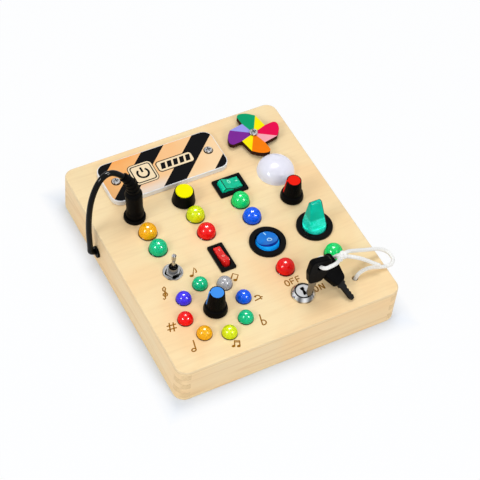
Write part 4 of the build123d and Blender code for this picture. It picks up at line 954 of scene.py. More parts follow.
def tube_along(bm, points, radius, sides, closed=False):
    """Round tube along points in millimetres, with a map of turns round it and length along it."""
    count = len(points)
    across = Vector((0, 0, 1))
    rings = []
    lengths = [0.0]
    for index, point in enumerate(points):
        before = points[index - 1] if index or closed else points[0]
        after = points[(index + 1) % count] if closed or index + 1 < count else points[-1]
        heading = (after - before).normalized()
        across = (across - heading * across.dot(heading)).normalized()
        if index == 0 and abs(heading.z) > 0.95:
            across = (Vector((1, 0, 0)) - heading * heading.x).normalized()
        side = heading.cross(across)
        ring = []
        for step in range(sides):
            angle = 2 * math.pi * step / sides
            ring.append(bm.verts.new(point + radius * (math.cos(angle) * across + math.sin(angle) * side)))
        rings.append(ring)
        if index:
            lengths.append(lengths[-1] + (point - points[index - 1]).length)
    strand = bm.loops.layers.uv.get(STRAND_MAP) or bm.loops.layers.uv.new(STRAND_MAP)
    spans = count if closed else count - 1
    for index in range(spans):
        ring, following = rings[index], rings[(index + 1) % count]
        start = lengths[index]
        end = lengths[index + 1] if index + 1 < count else start + (points[0] - points[-1]).length
        for step in range(sides):
            after = (step + 1) % sides
            face = bm.faces.new((ring[step], ring[after], following[after], following[step]))
            corners = ((start, step), (start, step + 1), (end, step + 1), (end, step))
            for loop, (length, turn) in zip(face.loops, corners):
                loop[strand].uv = (length / STRAND_PITCH, turn / sides)
    if not closed:
        bm.faces.new(list(reversed(rings[0])))
        bm.faces.new(rings[-1])
    bmesh.ops.recalc_face_normals(bm, faces=bm.faces)
    return bm


def make_plug_cord():
    """Black lead from the grommet to the plug's strain relief."""
    route = read_route(route_curve("plug_cord_route", CORD_POINTS))
    bm = tube_along(bmesh.new(), [point / MM for point in route], CORD_R, 20)
    lead = cord_object("plug_lead", bm, "cord_black")
    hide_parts("plug_cord")
    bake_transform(lead)


def cord_object(name, bm, finish):
    for face in bm.faces:
        face.smooth = len(face.verts) == 4
    piece = placed_object(name, bm)
    dress(piece, [finish])
    return piece


def make_string(name, node, points):
    """White cotton string along its route, riding on the board."""
    route = read_route(route_curve(f"{name}_route", points))
    bm = tube_along(bmesh.new(), [point / MM for point in route], STRING_R, 16)
    string = cord_object(name, bm, "string_white")
    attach(string, "board")
    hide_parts(node)


def knot_path(centre, radius, strand_r):
    """Closed path of a pulled-tight overhand knot that fills a ball of the radius."""
    reach = (radius - strand_r) / 3.0
    points = []
    for step in range(KNOT_STEPS):
        angle = 2 * math.pi * step / KNOT_STEPS
        x = math.sin(angle) + 2 * math.sin(2 * angle)
        y = math.cos(angle) - 2 * math.cos(2 * angle)
        z = -1.5 * math.sin(3 * angle)
        points.append(Vector((centre[0] + reach * x, centre[1] + reach * z, centre[2] + reach * y)))
    return points


def make_knots():
    """The knot that gathers the strands, and the stopper knot under the face."""
    bm = bmesh.new()
    tube_along(bm, knot_path(KNOT_AT, KNOT_R, STRING_R), STRING_R, 14, closed=True)
    tube_along(bm, knot_path(STRING_POINTS[0], STOPPER_R, STOPPER_STRAND_R), STOPPER_STRAND_R, 12, closed=True)
    finish_piece("string_knots", bm, "board", ["string_white"], ("key_string_knot",), DRAWN_SHARP)


# ---------------------------------------------------------------- lamps
def lamp_cap(name, centre, cap_r, rim, dome_inset, stem_r, colour, body_replaces=()):
    """Cap of a lamp: a stem in the panel, a flange on it and a domed lens; stem and flange are painted in a
    darkened copy of the lamp's colour, as the shade at its foot.
    """
    shaded_foot = TOP - STEM_DEPTH
    flange = TOP + LAMP_FLANGE_H
    dome_r = cap_r - dome_inset
    profile = [(0.0, TOP + LED_BORE_TOP), (LED_BORE_R, TOP + LED_BORE_TOP), (LED_BORE_R, shaded_foot), (stem_r, shaded_foot)]
    profile += [(stem_r, TOP), (cap_r - FLANGE_EASE, TOP), (cap_r, TOP + FLANGE_EASE)]
    profile += [(cap_r, flange - FLANGE_EASE), (cap_r - FLANGE_EASE, flange), (dome_r, flange)]
    profile += arc(0.0, TOP + rim + dome_inset, dome_r, 0.0, 90.0, 20)
    bm = turned(profile, centre)
    # Painted shade: faces up to the top of the flange take the darkened copy of the colour.
    for face in bm.faces:
        face.material_index = 1 if face.calc_center_median().z < flange + 0.05 else 0
    finish_piece(
        name, bm, "board",
        [f"lamp_{colour}", f"lamp_{colour}_foot"], body_replaces, even=False,
    )


def make_large_lamps():
    for index, (centre, half) in enumerate(islands("large_lamp_caps")):
        lamp_cap(
            f"large_lamp_{index + 1}", centre, half.x, LARGE_CAP_RIM, LARGE_DOME_INSET, LARGE_STEM_R,
            LARGE_LAMP_COLOURS[index], ("large_lamp_caps",) if index == 0 else (),
        )


def make_ring_lamps():
    found = islands("small_lamp_caps")
    middle = sum((centre for centre, _ in found), Vector()) / len(found)
    found.sort(key=lambda item: round(math.degrees(math.atan2(
        item[0].y - middle.y, item[0].x - middle.x)) % 360) % 360)
    for index, (centre, half) in enumerate(found):
        lamp_cap(
            f"ring_lamp_{index + 1}", centre, half.x, SMALL_CAP_RIM, SMALL_DOME_INSET, SMALL_STEM_R,
            RING_LAMP_COLOURS[index], ("small_lamp_caps",) if index == 0 else (),
        )


def make_dome():
    low, high = node_box("dome_lamp")
    centre = (low + high) / 2
    outer = (high.x - low.x) / 2
    rim_top = TOP + DOME_RIM_H
    crown = high.z - rim_top
    inner = outer - 0.2 - DOME_WALL
    inner_crown = crown - DOME_WALL
    profile = [(outer, TOP), (outer, rim_top - 0.2), (outer - 0.15, rim_top)]
    profile += arc(0.0, rim_top, outer - 0.2, 2.0, 90.0, 22, crown / (outer - 0.2))
    profile += list(reversed(arc(0.0, rim_top, inner, 0.0, 90.0, 16, inner_crown / inner)))
    profile += [(inner, TOP), (outer, TOP)]
    bm = turned(profile, centre, 72)
    finish_piece("dome_lens", bm, "board", ["dome_white"], ("dome_lamp",), even=False)


# ---------------------------------------------------------------- pinwheel
def petal_index(angle):
    """Which colour of which blade lies at an angle: blade number and 0 for its petal, 1 for its fold."""
    for blade in range(4):
        offset = (angle - 90.0 * blade - WHEEL_PETAL_START) % 360
        if offset < WHEEL_PETAL_END - WHEEL_PETAL_START:
            return blade, 0
        if offset >= 360 - (90.0 - WHEEL_PETAL_END + WHEEL_PETAL_START):
            return blade, 1
    return 0, 0


def make_pinwheel():
    """Painted wheel: each petal and fold has its own colour, the cut edges are scorched."""
    low, high = node_box("pinwheel")
    centre = (low + high) / 2
    bm = merged_copy("pinwheel")
    for blade in range(4):
        for start in (WHEEL_PETAL_START, WHEEL_PETAL_END):
            angle = math.radians(start + 90.0 * blade)
            bmesh.ops.bisect_plane(
                bm, geom=bm.verts[:] + bm.edges[:] + bm.faces[:], dist=CUT_DIST, plane_co=centre,
                plane_no=(-math.sin(angle), math.cos(angle), 0.0),
            )
    finishes = ["wheel_edge"] + [f"wheel_{name}" for name in WHEEL_COLOURS]
    for face in bm.faces:
        face.material_index = 0
        middle = face.calc_center_median()
        if face.normal.z > FACING_UP and middle.z > high.z - 0.1:
            angle = math.degrees(math.atan2(middle.y - centre.y, middle.x - centre.x))
            blade, part = petal_index(angle)
            face.material_index = finishes.index(f"wheel_{WHEEL_BLADES[blade][part]}")
    finish_piece("painted_pinwheel", bm, "pinwheel", finishes, ("pinwheel",))
    refined("pinwheel_bush", "pinwheel_spacer", "board", ["brass"], 0.2)
    refined("pinwheel_screw", "pinwheel_pin", "board", ["bright_chrome"], 0.12)


# ---------------------------------------------------------------- case
def make_case():
    refined("face_panel", "top_panel", "board", ["face_plywood"])
    for side, finish in (
        ("front", "wood_along_x"), ("back", "wood_along_x"), ("left", "wood_along_y"), ("right", "wood_along_y")
    ):
        refined(f"{side}_board", f"frame_{side}", "board", [finish], 0.12, segments=1)
    refined("base_board", "bottom_panel", "board", ["face_plywood"])
    refined("base_screw_set", "base_screws", "board", ["satin_steel"], 0.1)
    refined("battery_door", "battery_cover", "board", ["black"], 0.3)


# ---------------------------------------------------------------- sign
def make_sign():
    """White plate with a printed face of slanting black stripes, a badge and a gauge."""
    low, high = node_box("sign_plate")
    centre = (low + high) / 2
    refined("sign_board", "sign_plate", "board", ["white_plastic"], 0.15)
    size = (high.x - low.x - 2 * PRINT_INSET, high.y - low.y - 2 * PRINT_INSET)
    bm = bmesh.new()
    plate(bm, size, SIGN_R - PRINT_INSET, high.z, high.z + PRINT_T, centre)
    across = Vector((-math.sin(math.radians(STRIPE_ANGLE)), math.cos(math.radians(STRIPE_ANGLE)), 0))
    for step in range(-3, 4):
        for shift in (0.0, STRIPE_WIDTH):
            start = Vector((STRIPE_FIRST[0] + step * STRIPE_PERIOD + shift, STRIPE_FIRST[1], 0))
            bmesh.ops.bisect_plane(
                bm, geom=bm.verts[:] + bm.edges[:] + bm.faces[:], dist=CUT_DIST, plane_co=start, plane_no=across
            )
    slope = math.tan(math.radians(STRIPE_ANGLE))
    for face in bm.faces:
        middle = face.calc_center_median()
        foot_x = middle.x - (middle.y - STRIPE_FIRST[1]) / slope
        face.material_index = 1 if (foot_x - STRIPE_FIRST[0]) % STRIPE_PERIOD < STRIPE_WIDTH else 0
    finish_piece("sign_print", bm, "board", ["sign_peach", "print_black"])
    make_badge(high.z + PRINT_T)
    for index, (screw, _) in enumerate(islands("sign_screws")):
        # A thin dark disc under each screw head is painted shade round the head.
        low_z, top_z = high.z + PRINT_T, high.z + PRINT_T + SCREW_SHADE_T
        dark = turned([(0.0, low_z), (SCREW_SHADE_R, low_z), (SCREW_SHADE_R, top_z), (0.0, top_z)], screw)
        finish_piece(f"sign_screw_shade_{index + 1}", dark, "board", ["dark_steel"])
    refined("sign_screw_pair", "sign_screws", "board", ["bright_chrome"], 0.12)


def make_badge(level):
    """Rounded badge with an on/off sign, and a row of slanting bars as a level gauge."""
    step = PRINT_T
    dark, pale = bmesh.new(), bmesh.new()
    half = BADGE_SIZE / 2
    for index, (growth, corner_r, shaded_foot, head) in enumerate(BADGE_LAYERS):
        side = BADGE_SIZE + growth
        layer = pale if index % 2 else dark
        plate(layer, (side, side), corner_r, level + shaded_foot * step, level + head * step, BADGE_AT)
    plate(dark, GAUGE_SIZE, 2.6, level, level + step, GAUGE_AT)
    plate(pale, (GAUGE_SIZE[0] - 1.4, GAUGE_SIZE[1] - 1.4), 2.0, level + step, level + 1.5 * step, GAUGE_AT)
    bars_low = level + 1.5 * step
    pitch = (GAUGE_SIZE[0] - 2 * GAUGE_MARGIN) / GAUGE_BARS
    for index in range(GAUGE_BARS):
        x = GAUGE_AT[0] - GAUGE_SIZE[0] / 2 + GAUGE_MARGIN + pitch * index
        shaded_foot, head = GAUGE_AT[1] - BAR_HALF_H, GAUGE_AT[1] + BAR_HALF_H
        corners = [(x + BAR_FOOT[0], shaded_foot), (x + pitch + BAR_FOOT[1], shaded_foot)]
        corners += [(x + pitch + BAR_HEAD[1], head), (x + BAR_HEAD[0], head)]
        flat_outline(dark, corners, bars_low, bars_low + 0.5 * step)
    on_off = stroke_bmesh([
        [polar_point(BADGE_AT, 0.52 * half, angle) for angle in range(130, 411, 14)],
        [(BADGE_AT[0], BADGE_AT[1] + 0.1 * half), (BADGE_AT[0], BADGE_AT[1] + 0.68 * half)],
    ], 1.5, level + 2.5 * step)
    finish_piece("sign_badge_dark", dark, "board", ["print_black"])
    finish_piece("sign_badge_pale", pale, "board", ["print_cream"])
    finish_piece("sign_badge_mark", on_off, "board", ["print_black"], sharp=DRAWN_SHARP)


# ---------------------------------------------------------------- drawn strokes
def polar_point(centre, radius, degrees):
    angle = math.radians(degrees)
    return (centre[0] + radius * math.cos(angle), centre[1] + radius * math.sin(angle))


def stroke_bmesh(strokes, width, level, height=MARK_T):
    """Flat round-ended strokes of one width, drawn along (x, y) points at a height."""
    bm = bmesh.new()
    for stroke in strokes:
        curve = bpy.data.curves.new("stroke", "CURVE")
        curve.dimensions = "3D"
        curve.bevel_depth = width / 2
        curve.bevel_resolution = 3
        curve.use_fill_caps = True
        spline = curve.splines.new("POLY")
        spline.points.add(len(stroke) - 1)
        for point, (x, y) in zip(spline.points, stroke):
            point.co = (x, y, 0.0, 1.0)
        holder = bpy.data.objects.new("stroke", curve)
        bpy.context.scene.collection.objects.link(holder)
        bpy.context.view_layer.update()
        shape = bpy.data.meshes.new_from_object(holder)
        bm.from_mesh(shape)
        bpy.data.objects.remove(holder)
        bpy.data.curves.remove(curve)
        bpy.data.meshes.remove(shape)
    bmesh.ops.remove_doubles(bm, verts=bm.verts, dist=MERGE_DIST)
    bmesh.ops.scale(bm, vec=(1.0, 1.0, 2 * height / width), verts=bm.verts)
    bmesh.ops.translate(bm, vec=(0.0, 0.0, level), verts=bm.verts)
    bmesh.ops.recalc_face_normals(bm, faces=bm.faces)
    return bm


def oval(centre, half_long, half_short, tilt):
    """Closed outline of a tilted oval."""
    points = []
    turn = math.radians(tilt)
    for step in range(OVAL_STEPS + 1):
        angle = 2 * math.pi * step / OVAL_STEPS
        x, y = half_long * math.cos(angle), half_short * math.sin(angle)
        points.append((
            centre[0] + x * math.cos(turn) - y * math.sin(turn),
            centre[1] + x * math.sin(turn) + y * math.cos(turn),
        ))
    return points


def note_head(centre):
    return [oval(centre, 0.9, 0.55, NOTE_TILT), oval(centre, 0.4, 0.15, NOTE_TILT)]


def shifted(strokes, place, scale=1.0, turn=0.0):
    """Strokes turned, scaled and moved to a place."""
    across, along = math.cos(math.radians(turn)) * scale, math.sin(math.radians(turn)) * scale
    moved = []
    for stroke in strokes:
        moved.append([(place[0] + across * x - along * y, place[1] + along * x + across * y) for x, y in stroke])
    return moved


def single_note():
    return note_head((-1.0, -2.9)) + [[(-0.2, -2.6), (-0.2, 3.4), (1.0, 2.2), (1.7, 0.9), (1.3, -0.2)]]


def half_note():
    return [oval((-0.9, -2.8), 1.3, 0.95, NOTE_TILT), [(0.3, -2.5), (0.3, 3.8)]]


def beamed_notes(double):
    strokes = note_head((-2.2, -2.2)) + note_head((1.4, -2.2))
    strokes += [[(-1.4, -2.0), (-1.4, 2.4), (2.2, 2.4), (2.2, -2.0)]]
    if double:
        strokes.append([(-1.4, 1.3), (2.2, 1.3)])
    return strokes


def flat_sign():
    bowl = []
    for angle in range(-20, 190, 15):
        turn = math.radians(angle)
        bowl.append((1.6 * math.sin(turn), -1.4 + 1.6 * math.cos(turn)))
    return [[(-0.9, 4.2), (-0.7, -3.0)], [(-0.8, -0.6), *bowl, (-0.7, -3.0)]]


def sharp_sign():
    strokes = [[(x, -3.0), (x + 0.4, 3.0)] for x in (-1.3, 0.9)]
    return strokes + [[(-2.7, y - 0.4), (2.7, y + 0.5)] for y in (-1.2, 1.2)]


def treble_clef():
    """Curl round the middle, then up into a loop and down to a hooked tail."""
    curl = [(0.2, -1.6), (0.7, -1.0), (0.1, -0.3), (-0.8, -0.8), (-0.9, -1.9), (0.1, -2.6), (1.3, -2.1)]
    rise = [(1.5, -0.9), (0.5, 0.4), (-0.8, 1.4), (-0.9, 2.9), (0.0, 4.0), (0.7, 3.0), (0.3, 1.2)]
    return [curl + rise + [(0.1, -1.6), (0.3, -3.8), (-0.4, -4.6), (-1.1, -4.0)]]


def bass_clef():
    hook = []
    for angle in range(165, -60, -20):
        turn = math.radians(angle)
        hook.append((0.9 + 1.9 * math.cos(turn), 0.6 + 1.5 * math.sin(turn)))
    dots = [oval((3.7, height), 0.12, 0.12, 0.0) for height in (1.5, -0.3)]
    return [hook + [(-0.6, -3.0)], oval((-1.0, 0.7), 0.35, 0.35, 0.0), *dots]


def letter(shape, place, height):
    """Strokes of one plain capital, as wide as three fifths of its height."""
    w, h = 0.3 * height, height / 2
    shapes = {
        "O": [oval((0, 0), h, w, 90.0)],
        "F": [[(-w, -h), (-w, h), (w, h)], [(-w, 0.1 * h), (0.7 * w, 0.1 * h)]],
        "N": [[(-w, -h), (-w, h)], [(-w, h), (w, -h)], [(w, -h), (w, h)]],
    }
    return shifted(shapes[shape], place)


def word(letters, start, pitch, height):
    strokes = []
    for index, shape in enumerate(letters):
        strokes += letter(shape, (start[0] + pitch * index, start[1]), height)
    return strokes


def make_marks():
    """Burnt marks on the face: the notes round the ring of lamps and the two lock positions."""
    signs = (
        (treble_clef(), (-60.8, -28.3), 1.15, -22.0),
        (single_note(), (-36.7, -21.4), 1.05, -31.0),
        (beamed_notes(False), (-14.7, -35.4), 1.0, -42.0),
        (bass_clef(), (-9.1, -55.9), 0.9, -36.0),
        (flat_sign(), (-13.8, -73.3), 1.15, -15.0),
        (beamed_notes(True), (-37.0, -82.1), 0.9, -24.0),
        (half_note(), (-61.8, -72.6), 1.1, -12.0),
        (sharp_sign(), (-68.4, -54.2), 1.15, -15.0),
    )
    notes = []
    for strokes, place, scale, turn in signs:
        notes += shifted(strokes, place, scale, turn)
    words = word("OFF", (14.3, -54.0), 4.1, 4.4) + word("ON", (29.1, -65.5), 4.4, 4.4)
    for name, strokes in (("burnt_notes", notes), ("burnt_words", words)):
        marks = stroke_bmesh(strokes, MARK_LINE, TOP)
        finish_piece(name, marks, "board", ["burnt"], sharp=DRAWN_SHARP)


# ---------------------------------------------------------------- knobs
def make_knobs():
    refined("yellow_knob_shell", "yellow_knob", "yellow_knob_body", ["black"], 0.2)
    refined("yellow_knob_disc", "yellow_knob_cap", "yellow_knob_body", ["cap_yellow"])
    for colour in ("red", "blue"):
        body = f"{colour}_knob_body"
        refined(f"{colour}_knob_grip", f"{colour}_knob", body, ["black"])
        refined(f"{colour}_knob_disc", f"{colour}_knob_cap", body, [f"cap_{colour}"], 0.12)


# ---------------------------------------------------------------- switches
def rocker_piece(name, node, body, finishes):
    """Rocker whose outward walls, the raised end among them, and eased edges take their own copies of its colour:
    painted light and shade on the walls, painted shade on the edges.
    """
    bm = merged_copy(node)
    middle = node_centre(node)
    # Outward walls take the wall copy of the colour: painted light and shade.
    for face in bm.faces:
        outward = (face.calc_center_median() - middle).xy.dot(face.normal.xy) > 0
        if outward and face.normal.z < 0.8:
            face.material_index = 2
    # Eased edges take the dark edge copy of the colour: painted shade.
    ease_edges(bm, ROCKER_EASE, 2, 22.0, material=1)
    finish_piece(name, bm, body, finishes, (node,))


def ball_rocker():
    """Round rocker, level, about its pivot: a ball cut flat below, with a shallow valley on top."""
    radius = (node_box("blue_switch_rocker")[1] - node_centre("blue_switch_rocker")).x - TRUNNION_L
    slope = math.tan(math.radians(ROCKER_FACE_ANGLE))
    level = ROCKER_CREST - 0.1
    top_r = math.sqrt(radius ** 2 - ROCKER_CREST ** 2)
    low = math.degrees(math.asin(-ROCKER_DROP / radius))
    high = math.degrees(math.asin(level / radius))
    rings = [(top_r * share, ROCKER_CREST) for share in (1.0, 0.8, 0.6, 0.4, 0.2, 0.0)]
    bm = turned([(0.0, -ROCKER_DROP)] + arc(0.0, 0.0, radius, low, high, 10) + rings, (0.0, 0.0))
    for vert in bm.verts:
        reach = vert.co.xy.length
        if vert.co.z > level + 0.01 and reach > 0.01:
            rise = abs(vert.co.y) / reach * slope
            fall = ROCKER_CREST * rise
            outer = (math.sqrt(fall ** 2 + (1 + rise ** 2) * top_r ** 2) - fall) / (1 + rise ** 2)
            vert.co.xy *= outer / top_r
            vert.co.z = ROCKER_CREST + abs(vert.co.y) * slope
    # Side faces take copies of the colour: the band above the level is painted shade, the rest painted light.
    for face in bm.faces:
        if abs(face.normal.z) < 0.85:
            face.material_index = 1 if face.calc_center_median().z > level else 2
    return bm


def joint_place(name):
    """Where a joint's axis passes, in millimetres."""
    joint = next(item for item in frame["record"]["behaviour"]["joints"] if item["name"] == name)
    return Vector(joint["pos_m"]) / MM


def tilt_rocker(bm, colour, turn):
    """Moves a rocker's shape, made level about its pivot, to where the rocker rests."""
    spin = Matrix.Rotation(math.radians(turn), 4, "Z")
    tilt = Matrix.Rotation(math.radians(-ROCKER_TILT), 4, "X")
    place = Matrix.Translation(joint_place(f"{colour}_rocker_tilt"))
    bmesh.ops.transform(bm, matrix=place @ spin @ tilt, verts=bm.verts)


def rocker_marks(colour, turn, strokes):
    """On and off marks that lie on a rocker's two faces and tilt with it; strokes are drawn level."""
    bm = stroke_bmesh(strokes, ROCKER_MARK_LINE, 0.0, 0.04)
    slope = math.tan(math.radians(ROCKER_FACE_ANGLE))
    for vert in bm.verts:
        vert.co.z += ROCKER_CREST + abs(vert.co.y) * slope
    tilt_rocker(bm, colour, turn)
    finish_piece(
        f"{colour}_rocker_marks", bm, f"{colour}_rocker", [f"mark_{colour}"], sharp=DRAWN_SHARP
    )


def make_switches():
    for colour in ("green", "red", "blue", "teal"):
        refined(
            f"{colour}_switch_bezel", f"{colour}_switch_housing", "board", ["black_gloss"]
        )
    for colour in ("green", "red"):
        finishes = [f"rocker_{colour}", f"rocker_{colour}_edge", f"rocker_{colour}_wall"]
        rocker_piece(
            f"{colour}_rocker_cap", f"{colour}_switch_rocker", f"{colour}_rocker", finishes
        )
    round_cap = ball_rocker()
    tilt_rocker(round_cap, "blue", 0.0)
    finish_piece(
        "blue_rocker_cap", round_cap, "blue_rocker",
        ["rocker_blue", "rocker_blue_edge", "rocker_blue_wall"], ("blue_switch_rocker",), even=False,
    )
    lever = merged_copy("teal_switch_lever")
    # Small upper edge faces that face right or back take the dark edge copy: painted shade.
    for face in lever.faces:
        shaded_upper_edge = face.calc_area() < LEVER_EDGE_AREA and face.calc_center_median().z > TOP + LEVER_EDGE_SHADE_FROM
        if shaded_upper_edge and max(face.normal.x, face.normal.y) > 0.15:
            face.material_index = 1
    finish_piece(
        "teal_lever_cap", lever, "teal_lever", ["lever_teal", "lever_teal_edge"],
        ("teal_switch_lever",),
    )
    rocker_marks("green", -90.0, [[(-1.0, 3.4), (-1.0, 5.3)], oval((-1.9, -1.0), 1.3, 1.0, 0.0)])
    rocker_marks("red", 0.0, [[(0.6, 3.4), (0.6, 5.2)], oval((0.5, -1.6), 0.9, 0.7, 90.0)])
    rocker_marks("blue", 0.0, [[(0.3, 6.0), (0.9, 3.7)], oval((1.1, -1.0), 1.55, 1.45, 90.0)])


def make_toggle():
    bushing_top = node_box("toggle_body")[1].z
    case = merged_copy("toggle_body")
    ease_edges(case, 0.3, chosen=lambda e: all(v.co.z > bushing_top - 0.01 for v in e.verts))
    # Painted shade: the bushing's top, to a set depth, goes black round the lever's hole.
    for face in case.faces:
        face.material_index = 1 if face.calc_center_median().z > bushing_top - BUSHING_SHADE_DEPTH else 0
    finish_piece("toggle_case", case, "board", ["satin_steel", "black"], ("toggle_body",))
    refined("toggle_washer_nut", "toggle_nut", "board", ["chrome"], 0.15)
    refined("toggle_bat", "toggle_lever", "toggle", ["chrome"])


def make_lock():
    """Bright bezel round a dark ring, and a silver core whose keyway and sides are painted dark, as the shade in
    the hole and in the gap round the core.
    """
    high = node_box("lock_housing")[1].z
    centre = node_centre("lock_cylinder")
    bm = merged_copy("lock_housing")
    ease_edges(bm, 0.12)
    for face in bm.faces:
        if face.normal.z > FACING_UP and face.calc_center_median().z > high - 0.2:
            face.material_index = 1
    finish_piece("lock_shell", bm, "board", ["bright_chrome", "dark_steel"], ("lock_housing",))
    core = merged_copy("lock_cylinder")
    reach = (node_box("lock_cylinder")[1] - centre).x - CORE_RIM
    # Painted shade: keyway faces below the face go black, the core's sides dark.
    for face in core.faces:
        middle = face.calc_center_median()
        if (middle - centre).xy.length < reach and middle.z < high - KEYWAY_FROM:
            face.material_index = 1
        elif abs(face.normal.z) < 0.5:
            face.material_index = 2
    finish_piece(
        "lock_core_face", core, "lock_core", ["core_silver", "void_black", "dark_steel"],
        ("lock_cylinder",),
    )


def make_keys():
    for name, finish in (("key_one", "key_steel"), ("key_two", "dark_steel")):
        refined(f"{name}_grip", f"{name}_head", name, ["black"])
        refined(f"{name}_shank", f"{name}_blade", name, [finish], 0.1)


def make_power():
    refined("jack_flange", "jack_socket", "board", ["black"])
    refined("plug_shell", "plug_body", "plug", ["black_rubber"])
    refined("side_grommet", "cord_grommet", "board", ["black_rubber"], 0.2)
    give_finish("plug_barrel", "chrome")


def give_finish(node, finish):
    """Gives a node that keeps its own shape a finish."""
    mesh = frame["nodes"][node].data
    mesh.materials.clear()
    mesh.materials.append(finish_named(finish))


INNER_FINISHES = {
    "battery_case": "plastic_grey",
    "battery_cells": "cell_jacket",
    "battery_contacts": "satin_steel",
    "circuit_board": "circuit_green",
    "wiring": "wire_red",
    "dome_lamp_board": "circuit_green",
    "lamp_leds": "led_clear",
    "potentiometers": "satin_steel",
    "selector_switch": "plastic_grey",
    "panel_nuts": "satin_steel",
    "yellow_shaft": "satin_steel",
    "red_shaft": "satin_steel",
    "blue_shaft": "satin_steel",
}


# ---------------------------------------------------------------- stage
def where_seen(tree, otherwise, seen_shader):
    """One shader for the camera, for reflections and through clear pieces, another for the rest."""
    path = shader_node(tree, "ShaderNodeLightPath").outputs
    seen = reckoned(tree, "MAXIMUM", path["Is Camera Ray"], path["Is Glossy Ray"])
    seen = reckoned(tree, "MAXIMUM", seen, path["Is Transmission Ray"])
    return shader_node(
        tree, "ShaderNodeMixShader", {0: seen, 1: otherwise.outputs[0], 2: seen_shader.outputs[0]}
    ).outputs[0]


def make_world():
    world = bpy.context.scene.world or bpy.data.worlds.new("Studio")
    bpy.context.scene.world = world
    world.use_nodes = True
    tree = world.node_tree
    tree.nodes.clear()
    sky = shader_node(tree, "ShaderNodeBackground", {"Color": (1, 1, 1, 1), "Strength": settings().light.sky})
    plain = shader_node(tree, "ShaderNodeBackground", {"Color": (1, 1, 1, 1), "Strength": 1.0})
    shader_node(tree, "ShaderNodeOutputWorld", {"Surface": where_seen(tree, sky, plain)})


def make_floor():
    """White floor that keeps the shadow beside the board and turns plain white further out."""
    bm = bmesh.new()
    bmesh.ops.create_circle(bm, cap_ends=True, radius=FLOOR_R, segments=96)
    floor = placed_object("floor", bm)
    floor.location = (0, 0, -FLOOR_GAP * MM)
    material = bpy.data.materials.new("floor_white")
    material.use_nodes = True
    tree = material.node_tree
    tree.nodes.clear()
    looked_at = shader_node(tree, "ShaderNodeLightPath").outputs["Is Camera Ray"]
    # The camera sees this floor bluish and bounced light sees it warm: painted light that cools the shadow beside
    # the board.
    shade = mixed(tree, looked_at, (0.95, 0.94, 0.92, 1), (0.80, 0.88, 1.0, 1))
    matt = shader_node(tree, "ShaderNodeBsdfDiffuse", {"Color": shade})
    glow = shader_node(tree, "ShaderNodeEmission", {"Color": (1, 1, 1, 1), "Strength": 1.0})
    seen = where_seen(tree, matt, glow)
    beside = []
    for axis, size in (("X", BOARD_X), ("Y", BOARD_Y)):
        reach = reckoned(tree, "ABSOLUTE", along_axis(tree, object_place(tree), axis))
        beside.append(reckoned(tree, "SUBTRACT", reach, size / 2 * MM))
    outer = ranged(tree, reckoned(tree, "MAXIMUM", *beside), 0.001, 0.013, 0.2, 0.93)
    mix = shader_node(tree, "ShaderNodeMixShader", {0: outer, 1: matt.outputs[0], 2: seen})
    shader_node(tree, "ShaderNodeOutputMaterial", {"Surface": mix.outputs[0]})
    floor.data.materials.append(material)


LIGHT_BOXES = (
    ("overhead", (0.11, 0.17, 0.98), 0.42, 1.0, "overhead"),
    ("front_right", (0.16, -0.73, 0.665), 0.34, 0.97, "sides"),
    ("left", (-0.73, -0.15, 0.665), 0.34, 1.08, "sides"),
)
GLINT_BOXES = (
    ("back_glint", (0.11, 0.31, 0.945), (0.5, 0.28)),
    ("left_glint", (-0.76, -0.12, 0.64), (0.18, 0.3)),
    ("right_glint", (0.35, -0.63, 0.68), (0.18, 0.34)),
)


def make_box_lamp(name, direction, size, power):
    """Soft box of a size and a power, aimed at the middle of the face."""
    data = bpy.data.lights.new(name, "AREA")
    data.shape = "RECTANGLE"
    data.size, data.size_y = size
    data.energy = power
    lamp = bpy.data.objects.new(name, data)
    bpy.context.scene.collection.objects.link(lamp)
    heading = Vector(direction).normalized()
    lamp.location = heading * settings().light.reach
    lamp.rotation_mode = "QUATERNION"
    lamp.rotation_quaternion = (-heading).to_track_quat("-Z", "Y")
    return lamp


def make_lights():
    """Boxes that light the board, and brighter ones that only glossy surfaces show."""
    light = settings().light
    for name, direction, size, share, power in LIGHT_BOXES:
        box = make_box_lamp(f"{name}_box", direction, (size, size), getattr(light, power) * share)
        box.visible_glossy = False
    for name, direction, size in GLINT_BOXES:
        glint = make_box_lamp(name, direction, size, light.glint * math.pi * size[0] * size[1])
        glint.visible_diffuse = False
        glint.light_linking.receiver_collection = glossy_pieces()


def make_camera():
    chosen = settings().camera
    turn, lift, roll = (math.radians(v) for v in (chosen.azimuth, chosen.elevation, chosen.roll))
    forward = Vector((-math.sin(turn) * math.cos(lift), math.cos(turn) * math.cos(lift), -math.sin(lift)))
    right = forward.cross(Vector((0, 0, 1))).normalized()
    down = forward.cross(right)
    rolled_right = math.cos(roll) * right + math.sin(roll) * down
    rolled_down = -math.sin(roll) * right + math.cos(roll) * down
    data = bpy.data.cameras.new("view")
    data.sensor_width = 36.0
    data.lens = chosen.lens
    camera = bpy.data.objects.new("view", data)
    bpy.context.scene.collection.objects.link(camera)
    axes = Matrix((rolled_right, -rolled_down, -forward)).transposed().to_4x4()
    place = (Vector(chosen.target) - forward * chosen.distance) * MM
    camera.matrix_world = Matrix.Translation(place) @ axes
    bpy.context.scene.camera = camera


def make_stage():
    make_world()
    make_floor()
    make_lights()
    make_camera()
    bpy.context.scene.view_settings.view_transform = "Standard"


# ---------------------------------------------------------------- operators
class BusyBoardOperator:
    """Runs one group's builder; an error in it stops the script."""

    builders = ()

    def execute(self, context):
        for build in self.builders:
            build()
        return {"FINISHED"}


class BUSY_OT_stage(BusyBoardOperator, bpy.types.Operator):
    """Floor, studio light and camera"""

    bl_idname = "busy.stage"
    bl_label = "Stage"
    builders = (make_stage,)


